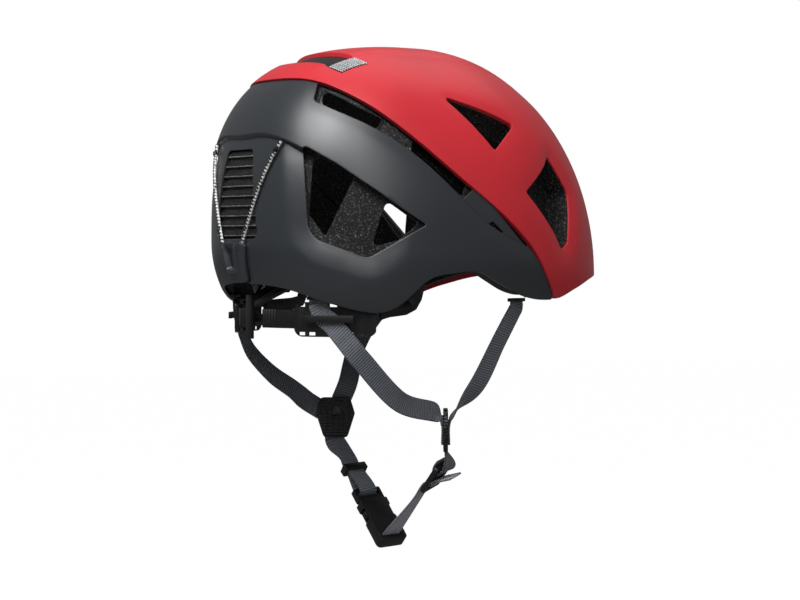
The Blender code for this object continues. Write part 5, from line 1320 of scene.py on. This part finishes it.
def wire(bm, path):
    """One wire of the mesh along a path."""
    rings = []
    for k, p in enumerate(path):
        along = (path[min(k + 1, len(path) - 1)] - path[max(k - 1, 0)]).normalized()
        across = along.cross(UP).normalized()
        lift = across.cross(along)
        rings.append([bm.verts.new(p + (across * math.cos(2 * math.pi * i / WIRE_SIDES)
                                        + lift * math.sin(2 * math.pi * i / WIRE_SIDES)) * WIRE_RADIUS)
                      for i in range(WIRE_SIDES)])
    close_tube(bm, rings)


# Moulded hardware taken from the frame, with rounded edges

def dress(node, finish_name, slot, width, blocks=()):
    """Copy of a node, kept within blocks and with its edges rounded, on the node's own body."""
    source = frame["nodes"][node]
    piece = bpy.data.objects.new(node + "_moulding", source.data.copy())
    bpy.context.scene.collection.objects.link(piece)
    cut(piece, blocks, 'INTERSECT')
    round_edges(piece, width)
    soften(piece, MOULDED_SHARP)
    return place(piece, source["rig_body"], slot, look(finish_name), node)


CRADLE_NODES = ["rear_rack", "cradle_yoke"] + [
    f"{piece}_{side}" for piece in ("band_grip", "band", "strap_guide", "side_hanger", "hanger_pin")
    for side in ("left", "right")]
HARDWARE_NODES = ["strap_divider_left", "strap_divider_right", "buckle_male", "buckle_female",
                  "buckle_prong_left", "buckle_prong_right", "strap_keeper", "strap_adjuster"] + [
    f"strap_anchor_{end}_{side}" for end in ("front", "rear") for side in ("left", "right")]
EDGE_RADII = {"buckle_female": 0.0012, "buckle_male": 0.0008, "strap_adjuster": 0.0009,
              "strap_divider": 0.0007, "band_grip": 0.0009, "strap_guide": 0.0006}
GUIDE_PLANE = (46.0, 0.0)
GUIDE_RADIUS = 0.0065


def make_cradle_piece(node):
    """Piece of the head cradle; a strap guide's block gets round corners as well."""
    kind, _, side = node.rpartition("_")
    blocks = []
    if kind == "strap_guide":
        turn = -1 if side == "left" else 1
        forward, up, _ = plane_axes(GUIDE_PLANE, turn)
        corners = frame["nodes"][node].data.vertices
        us, vs = ([axis.dot(v.co) for v in corners] for axis in (forward, up))
        edge = [(min(us), max(vs)), (min(us), min(vs)), (max(us), min(vs)), (max(us), max(vs))]
        blocks.append(prism(rounded([(u, v, GUIDE_RADIUS) for u, v in edge]), GUIDE_PLANE, turn))
    dress(node, "nylon", "black_nylon", EDGE_RADII.get(kind, sizes().edge), blocks)


# Webbing

def frame_axes(place_at, along, across):
    """Matrix with X along a line and Y as near as can be to another."""
    along = along.normalized()
    across = (across - along * across.dot(along)).normalized()
    m = Matrix((along, across, along.cross(across))).transposed().to_4x4()
    m.translation = place_at
    return m


def even_path(points, faces, step):
    """Points and face directions at even steps along a route."""
    out = [(points[0], faces[0])]
    left = step
    for k in range(1, len(points)):
        a, b = points[k - 1], points[k]
        length = (b - a).length
        done = 0.0
        while length - done >= left:
            done += left
            t = done / length
            out.append((a.lerp(b, t), faces[k - 1].lerp(faces[k], t)))
            left = step
        left -= length - done
    out.append((points[-1], faces[-1]))
    return out


def strap(name, stations, node, finish_name="web"):
    """Ribbed tape through points, each with the way its face looks there."""
    s = sizes()
    path = smooth_path([p for p, _ in stations], STATION_STEPS)
    faces = smooth_path([f.normalized() for _, f in stations], STATION_STEPS)
    steps = even_path(path, faces, s.rib_pitch / RIB_STEPS)
    half, wall = s.web_width / 2, WEB_WALL / 2
    bm = bmesh.new()
    layer = bm.verts.layers.float_vector.new("weave")
    rings = []
    for k, (p, face) in enumerate(steps):
        along = steps[min(k + 1, len(steps) - 1)][0] - steps[max(k - 1, 0)][0]
        side = face.cross(along).normalized()
        out = along.cross(side).normalized()
        run = k * s.rib_pitch / RIB_STEPS
        ring = []
        for skin in (1, -1):
            for u in (WEB_PROFILE if skin > 0 else WEB_PROFILE[::-1][1:-1]):
                lean = RIB_LEAN * u * half
                rib = abs(math.sin(math.pi * (run + lean * skin) / s.rib_pitch))
                band = ease(1.0, RIB_END, abs(u))
                full = WEB_EDGE_SHARE + (1 - WEB_EDGE_SHARE) * ease(1.0, WEB_EDGE_START, abs(u))
                thick = wall * full - s.rib_height * (1 - rib) * band
                if abs(u) == 1.0:
                    thick = 0.0
                v = bm.verts.new(p + side * (u * half) + out * (thick * skin))
                # Rib height for the painted shade and highlight of the ribs, at a lower share past the rib
                # ends
                tone = RIB_END_PAINTED_SHARE + (1 - RIB_END_PAINTED_SHARE) * band
                v[layer] = (rib * tone, u * half * 1000, run * 1000)
                ring.append(v)
        rings.append(ring)
    close_tube(bm, rings)
    piece = add_object(name, bm)
    soften(piece, ROUND_SHARP)
    return place(piece, None, "webbing", look(finish_name), node)


def cradle_point(deg, radius, z, side):
    """Point round the cradle's upright axis."""
    a = math.radians(deg)
    return Vector((-math.sin(a) * radius * side, CRADLE_Y + math.cos(a) * radius, z))


def divider_ends(name, rear):
    """Where a side strap ends at its divider: its last points and the face there."""
    middle, face = (Vector(v) for v in DIVIDERS[name])
    width = sizes().web_width
    rest = DIVIDER_WALL / 2 + WEB_WALL / 2
    lift = DIVIDER_HEIGHT / 3
    if name == "right":
        out = face if rear else -face
        points = [middle + out * (rest + width / 4) + UP * lift * RIGHT_END_LIFT,
                  middle + out * rest + UP * lift / 3, middle + out * rest - UP * lift]
    else:
        back = face.cross(UP)
        shift = DIVIDER_WIDTH / 3 if rear else -DIVIDER_WIDTH / 7
        rise = lift / 2 if rear else lift * LEFT_FRONT_LIFT
        end = middle - face * rest + back * shift + UP * rise
        aside, upward = LEFT_REAR_LEAN
        run = back * aside + UP * upward if rear else UP - back * LEFT_FRONT_LEAN
        points = [end - face * WEB_WALL + run * width, end]
    return points, -face


def make_side_straps():
    """Webbing from the rear and front anchors down to the dividers."""
    radius = BAND_RADIUS + BAND_WALL / 2 + FIT_GAP + GUIDE_WALL + STRAP_CLEAR + WEB_WALL / 2
    under = [UP * STRAP_DROP * k for k in range(3)]
    for name, side in SIDES:
        seat = cradle_point(REAR_ANCHOR_DEG, radius, REAR_ANCHOR_Z, side)
        route = [seat - drop for drop in under]
        route += [cradle_point(deg, radius, z, side) for deg, z in REAR_STRAP_ARC]
        route += [Vector(p) for p in REAR_HANG[name]]
        stations = [(p, Vector((p.x, p.y - CRADLE_Y, 0))) for p in route]
        ends, face = divider_ends(name, True)
        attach(strap("rear_strap_tape_" + name, stations + [(p, face) for p in ends],
                      "rear_strap_" + name), "root")
        theta = math.radians(FRONT_ANCHOR_DEG) * side
        seat = dome_point(theta, rise_where(theta, lambda y: FRONT_ANCHOR_Z),
                          SHELL_WALL + FOAM_GAP + FOAM_WALL / 2)
        route = [seat - drop for drop in under]
        hang = [Vector(p) for p in FRONT_HANG[name]]
        route += [route[-1].lerp(hang[0], STRAP_LEAD_SHARE)] + hang
        stations = [(p, Vector((p.x, p.y, 0))) for p in route]
        ends, face = divider_ends(name, False)
        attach(strap("front_strap_tape_" + name, stations + [(p, face) for p in ends],
                      "front_strap_" + name), "root")


def buckle_axes():
    """Matrix at the buckle's bar with X along the buckle, and the buckle's length."""
    bar, end = Vector(BUCKLE_BAR), Vector(BUCKLE_END)
    return frame_axes(bar, end - bar, Vector((0, 1, 0))), (end - bar).length


def make_left_chin_strap():
    """Webbing from the left divider round the buckle's bar and back up to the keeper."""
    at, _ = buckle_axes()
    middle, face = (Vector(v) for v in DIVIDERS["left"])
    top = middle - UP * (DIVIDER_HEIGHT / 2 - DIVIDER_TUCK)
    a, h = at.col[0].to_3d(), at.col[2].to_3d()
    apart = (WEB_WALL + LAYER_GAP) / 2
    wrap = MALE_THICK / 2 + STRAP_CLEAR + WEB_WALL / 2
    turn = BAR_WIDTH / 2 + BAR_SLOT / 2
    keep = at @ Vector((-KEEPER_BACK, 0, apart))
    run = (top - keep).normalized()
    over = (h - run * h.dot(run)).normalized()
    behind = middle - face * (DIVIDER_WALL + WEB_WALL) / 2
    stations = [(behind + UP * DIVIDER_HEIGHT * 0.4, -face), (behind, -face), (top, -face),
                (top - UP * sizes().web_width / 2, -face),
                (keep + run * KEEPER_BACK * 0.6, over), (keep + run * KEEPER_BACK * 0.3, over), (keep, over)]
    # Along the buckle, up from its middle, and the way the face looks; the way back mirrors the way out
    outer = [(-0.75 * KEEPER_BACK, apart * 1.2, h), (-0.4 * KEEPER_BACK, wrap * 0.8, h),
             (-BAR_WIDTH * 1.6, wrap, h), (BAR_WIDTH / 2, wrap, h), (turn * 0.85, wrap * 0.62, h + a)]
    back = [(x, -z, d - 2 * h * d.dot(h)) for x, z, d in reversed(outer)]
    stations += [(at @ Vector((x, 0, z)), looks) for x, z, looks in outer + [(turn, 0.0, a)] + back]
    stations.append((at @ Vector((-KEEPER_BACK, 0, -apart)), -over))
    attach(strap("chin_strap_tape_left", stations, "chin_strap_left"), "root")


def make_right_chin_strap():
    """Webbing from the female end up through the adjuster, and from the adjuster to the divider."""
    at, length = buckle_axes()
    a = at.col[0].to_3d()
    slot = length - END_BAR - END_SLOT / 2
    spot = Vector(ADJUSTER)
    lock = frame_axes(spot, spot - Vector(BUCKLE_END), Vector(ADJUSTER_ACROSS))
    q, s = lock.col[2].to_3d(), lock.col[0].to_3d()
    half, bar = ADJUSTER_LENGTH / 2, ADJUSTER_BAR
    over = ADJUSTER_WALL / 2 + STRAP_CLEAR + WEB_WALL / 2
    mid = half / 2 - bar / 4
    tail = q - s * 0.6
    # Along the adjuster, out from its middle, and the way the face looks
    start = at @ Vector((slot, 0, BUCKLE_THICK / 4))
    stations = [(start, a), (at @ Vector((slot, 0, -BUCKLE_THICK * 0.6)), a)]
    stations += [(lock @ Vector((x, 0, z)), looks) for x, z, looks in (
        (-2.2 * half, -over, q), (-half, -over, q), (-mid - bar * 0.4, -over * 0.8, q - s), (-mid, 0, -s),
        (-mid + bar * 0.4, over * 0.8, q - s), (0, over + WEB_WALL / 4, q), (half * 0.5, 2.4 * over, tail),
        (half * 0.95, 3.6 * over, tail))]
    lower = strap("chin_strap_tape_right", stations, "chin_strap_right", "chin_web")
    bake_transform(lower)
    middle, face = (Vector(v) for v in DIVIDERS["right"])
    top = middle - UP * (DIVIDER_HEIGHT / 2 - DIVIDER_TUCK)
    turn = half - bar - (half - 1.5 * bar) * 0.45
    stations = [(top, -face), (top - UP * sizes().web_width * 0.4, -face)]
    stations += [(lock @ Vector((x, 0, z)), looks) for x, z, looks in (
        (half * 1.05, over * 1.3, q), (half - bar * 0.9, over, q), (turn + bar * 0.15, over * 0.6, q - s),
        (turn, 0.0, -s), (turn + bar * 0.15, -over * 0.6, -q - s), (half - bar * 0.9, -over, -q),
        (half * 1.2, -over, -q))]
    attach(strap("adjuster_tape", stations, "adjuster_web"), "root")


# Pads

def pad(name, headings, levels, inset_at, node, grid):
    """Crowned pad against the foam, drawn in at its ends, with a stitched edge."""
    columns, rows = grid
    skins = ([], [])
    for r in range(rows + 1):
        v = 2 * r / rows - 1
        for skin in skins:
            skin.append([])
        for c in range(columns + 1):
            u = 2 * c / columns - 1
            theta = math.radians((headings[0] + headings[1] + u * (headings[1] - headings[0])) / 2)
            drawn_in = 1 - PAD_TAPER * u ** PAD_TAPER_POWER
            z = (levels[0] + levels[1] + v * (levels[1] - levels[0]) * drawn_in) / 2
            phi = rise_where(theta, lambda y: z)
            near = inset_at(theta, phi) + PAD_GAP
            crown = (1 - u ** PAD_CROWN_POWER) * (1 - v ** PAD_CROWN_POWER)
            from_seam = (max(abs(u), abs(v)) - PAD_SEAM_AT) / PAD_SEAM_WIDTH
            seam = PAD_SEAM_DEPTH * math.exp(-from_seam ** 2)
            thick = PAD_EDGE + (PAD_WALL - PAD_EDGE) * crown - seam
            for skin, depth in zip(skins, (near, near + thick)):
                skin[-1].append(dome_point(theta, phi, depth))
    piece = slab(name, *skins)
    soften(piece, PAD_SHARP)
    place(piece, "root", "pad", look("pad"), node)


def make_pads():
    """Brow, nape and crown pads against the foam."""
    front = SHELL_WALL + FIT_GAP + FOAM_WALL
    rear = SHELL_WALL + FOAM_GAP + FOAM_WALL
    pad("brow_pad_cushion", BROW_PAD_DEG, BROW_PAD_LEVELS, lambda theta, phi: front, "brow_pad",
        BROW_PAD_GRID)
    for name, side in SIDES:
        pad("nape_pad_cushion_" + name, [d * side for d in NAPE_PAD_DEG], NAPE_PAD_LEVELS,
            lambda theta, phi: rear + recess(theta, phi), "nape_pad_" + name, NAPE_PAD_GRID)
    skins = ([], [])
    columns, rows = CROWN_PAD_GRID
    for r in range(rows):
        rise = math.radians(CROWN_PAD_RISE_DEG + (90 - CROWN_PAD_RISE_DEG) * r / rows)
        thick = PAD_EDGE + (PAD_WALL - PAD_EDGE) * (1 - (1 - r / rows) ** PAD_CROWN_POWER)
        for skin, depth in zip(skins, (front + PAD_GAP, front + PAD_GAP + thick)):
            skin.append([dome_point(2 * math.pi * c / columns, rise, depth) for c in range(columns)])
    poles = [dome_point(0, math.pi / 2, front + PAD_GAP + k) for k in (0.0, PAD_WALL)]
    crown = slab("crown_pad_cushion", *skins, True, poles)
    soften(crown, PAD_SHARP)
    place(crown, "root", "pad", look("pad"), "crown_pad")


# Stage

def make_camera():
    """Camera in the photograph's view."""
    azimuth, rise = math.radians(VIEW_AZIMUTH), math.radians(VIEW_RISE)
    back = Vector((math.sin(azimuth) * math.cos(rise), -math.cos(azimuth) * math.cos(rise), math.sin(rise)))
    target = Vector(VIEW_TARGET)
    camera = bpy.data.objects.new("camera", bpy.data.cameras.new("camera"))
    camera.data.lens = LENS_MM
    camera.location = target + back * VIEW_DISTANCE
    aim = target - UP * VIEW_DROP - camera.location
    camera.rotation_euler = aim.to_track_quat('-Z', 'Y').to_euler()
    bpy.context.scene.collection.objects.link(camera)
    bpy.context.scene.camera = camera


def area_light(name, location, size, power):
    """Round soft lamp that looks at the helmet."""
    lamp = bpy.data.lights.new(name, 'AREA')
    lamp.shape = 'DISK'
    lamp.size = size
    lamp.energy = power
    made = bpy.data.objects.new(name, lamp)
    made.location = location
    made.rotation_euler = (Vector(LAMP_AIM) - Vector(location)).to_track_quat('-Z', 'Y').to_euler()
    bpy.context.scene.collection.objects.link(made)


def make_world():
    """White where the camera sees it, with levels of its own in reflections and as a light."""
    world = bpy.data.worlds.new("studio")
    bpy.context.scene.world = world
    world.use_nodes = True
    tree = world.node_tree
    path = add(tree, 'ShaderNodeLightPath')
    seen = add(tree, 'ShaderNodeMath', {0: path.outputs["Is Camera Ray"],
                                        1: path.outputs["Is Transmission Ray"]}, operation='MAXIMUM')
    glow = add(tree, 'ShaderNodeMath', {0: path.outputs["Is Glossy Ray"], 1: WORLD_SHINE - WORLD_LIGHT,
                                        2: WORLD_LIGHT}, operation='MULTIPLY_ADD')
    level = add(tree, 'ShaderNodeMath', {0: seen.outputs["Value"], 1: glow.outputs["Value"]},
                operation='MAXIMUM')
    sky = tree.nodes["Background"]
    sky.inputs["Color"].default_value = (1, 1, 1, 1)
    tree.links.new(level.outputs["Value"], sky.inputs["Strength"])


def make_floor():
    """Paper that the camera sees as white, apart from a share that keeps the helmet's shadow."""
    bm = bmesh.new()
    bmesh.ops.create_grid(bm, x_segments=8, y_segments=8, size=FLOOR_HALF)
    floor = add_object("floor", bm)
    floor.location.z = FLOOR_HEIGHT
    made, tree, shader = finish("white_paper", Base_Color=(*[FLOOR_GREY] * 3, 1), Roughness=0.9)
    path = add(tree, 'ShaderNodeLightPath')
    seen = add(tree, 'ShaderNodeMath', {0: path.outputs["Is Camera Ray"], 1: FLOOR_SEEN},
               operation='MULTIPLY')
    white = add(tree, 'ShaderNodeEmission', {"Color": (1, 1, 1, 1), "Strength": FLOOR_GLOW})
    mixed = add(tree, 'ShaderNodeMixShader', {0: seen.outputs["Value"], 1: shader.outputs["BSDF"],
                                              2: white.outputs["Emission"]})
    tree.links.new(mixed.outputs["Shader"], tree.nodes["Material Output"].inputs["Surface"])
    floor.data.materials.append(made)


def make_stage():
    """World, floor, lamps and camera."""
    bpy.context.scene.view_settings.view_transform = 'Standard'
    make_world()
    make_floor()
    for name, (location, size, power) in LAMPS.items():
        area_light(name, location, size, power)
    make_camera()


# Operators, one for each piece or group of like pieces

class HELMET_OT_upper_shell(bpy.types.Operator):
    """Mould the red upper shell with its vents and crown slot"""
    bl_idname = "helmet.upper_shell"
    bl_label = "Upper Shell"

    def execute(self, context):
        make_upper_shell()
        return {'FINISHED'}


class HELMET_OT_lower_shell(bpy.types.Operator):
    """Mould the charcoal lower shell with its band, side vents and rear window"""
    bl_idname = "helmet.lower_shell"
    bl_label = "Lower Shell"

    def execute(self, context):
        make_lower_shell()
        return {'FINISHED'}


class HELMET_OT_foam(bpy.types.Operator):
    """Line both shells with bead foam"""
    bl_idname = "helmet.foam"
    bl_label = "Foam Liner"

    def execute(self, context):
        make_foam()
        return {'FINISHED'}


class HELMET_OT_rear_window(bpy.types.Operator):
    """Fill the rear window with its ribbed panel, and string the bungee and its tab over it"""
    bl_idname = "helmet.rear_window"
    bl_label = "Rear Window and Bungee"

    def execute(self, context):
        make_rear_window()
        make_tab()
        make_bungee()
        return {'FINISHED'}


class HELMET_OT_slot_fittings(bpy.types.Operator):
    """Fit the pocket frames and headlamp clips in the side slots, and the mesh in the crown slot"""
    bl_idname = "helmet.slot_fittings"
    bl_label = "Slot Fittings"

    def execute(self, context):
        make_slot_fittings()
        make_crown_mesh()
        return {'FINISHED'}


class HELMET_OT_cradle(bpy.types.Operator):
    """Round the edges of the head cradle and give it its finish"""
    bl_idname = "helmet.cradle"
    bl_label = "Head Cradle"

    def execute(self, context):
        for node in CRADLE_NODES:
            make_cradle_piece(node)
        return {'FINISHED'}


class HELMET_OT_straps(bpy.types.Operator):
    """Weave the side straps and both halves of the chin strap"""
    bl_idname = "helmet.straps"
    bl_label = "Straps"

    def execute(self, context):
        make_side_straps()
        make_left_chin_strap()
        make_right_chin_strap()
        return {'FINISHED'}


class HELMET_OT_hardware(bpy.types.Operator):
    """Round the edges of the buckle, dividers, keeper, adjuster and strap anchors"""
    bl_idname = "helmet.hardware"
    bl_label = "Strap Hardware"

    def execute(self, context):
        for node in HARDWARE_NODES:
            kind = node.removesuffix("_left").removesuffix("_right")
            dress(node, "knurl" if kind == "strap_divider" else "nylon", "black_nylon",
                  EDGE_RADII.get(kind, sizes().edge))
        return {'FINISHED'}


class HELMET_OT_pads(bpy.types.Operator):
    """Sew the brow, nape and crown pads"""
    bl_idname = "helmet.pads"
    bl_label = "Pads"

    def execute(self, context):
        make_pads()
        return {'FINISHED'}


class HELMET_OT_stage(bpy.types.Operator):
    """Set the floor, the light and the camera"""
    bl_idname = "helmet.stage"
    bl_label = "Stage"

    def execute(self, context):
        make_stage()
        return {'FINISHED'}


OPERATORS = (HELMET_OT_upper_shell, HELMET_OT_lower_shell, HELMET_OT_foam, HELMET_OT_rear_window,
             HELMET_OT_slot_fittings, HELMET_OT_cradle, HELMET_OT_straps, HELMET_OT_hardware,
             HELMET_OT_pads, HELMET_OT_stage)


class HELMET_PT_panel(bpy.types.Panel):
    """Lists the helmet's pieces and settings"""
    bl_idname = "HELMET_PT_panel"
    bl_label = "Climbing Helmet"
    bl_space_type = 'VIEW_3D'
    bl_region_type = 'UI'
    bl_category = "Helmet"

    def draw(self, context):
        for kind in OPERATORS:
            self.layout.operator(kind.bl_idname)
        for group in (context.scene.helmet_sizes, context.scene.helmet_colours):
            for key in group.bl_rna.properties.keys():
                if key not in ("rna_type", "name"):
                    self.layout.prop(group, key)


CLASSES = (HelmetSizes, HelmetColours, *OPERATORS, HELMET_PT_panel)


def register():
    """Add the classes and the settings."""
    for kind in CLASSES:
        bpy.utils.register_class(kind)
    bpy.types.Scene.helmet_sizes = bpy.props.PointerProperty(type=HelmetSizes)
    bpy.types.Scene.helmet_colours = bpy.props.PointerProperty(type=HelmetColours)


def unregister():
    """Take the settings and the classes away again."""
    del bpy.types.Scene.helmet_colours
    del bpy.types.Scene.helmet_sizes
    for kind in reversed(CLASSES):
        bpy.utils.unregister_class(kind)


def main():
    """Build every piece in order."""
    register()
    bpy.ops.helmet.upper_shell()
    bpy.ops.helmet.lower_shell()
    bpy.ops.helmet.foam()
    bpy.ops.helmet.rear_window()
    bpy.ops.helmet.slot_fittings()
    bpy.ops.helmet.cradle()
    bpy.ops.helmet.straps()
    bpy.ops.helmet.hardware()
    bpy.ops.helmet.pads()
    bpy.ops.helmet.stage()


if __name__ == "__main__":
    main()
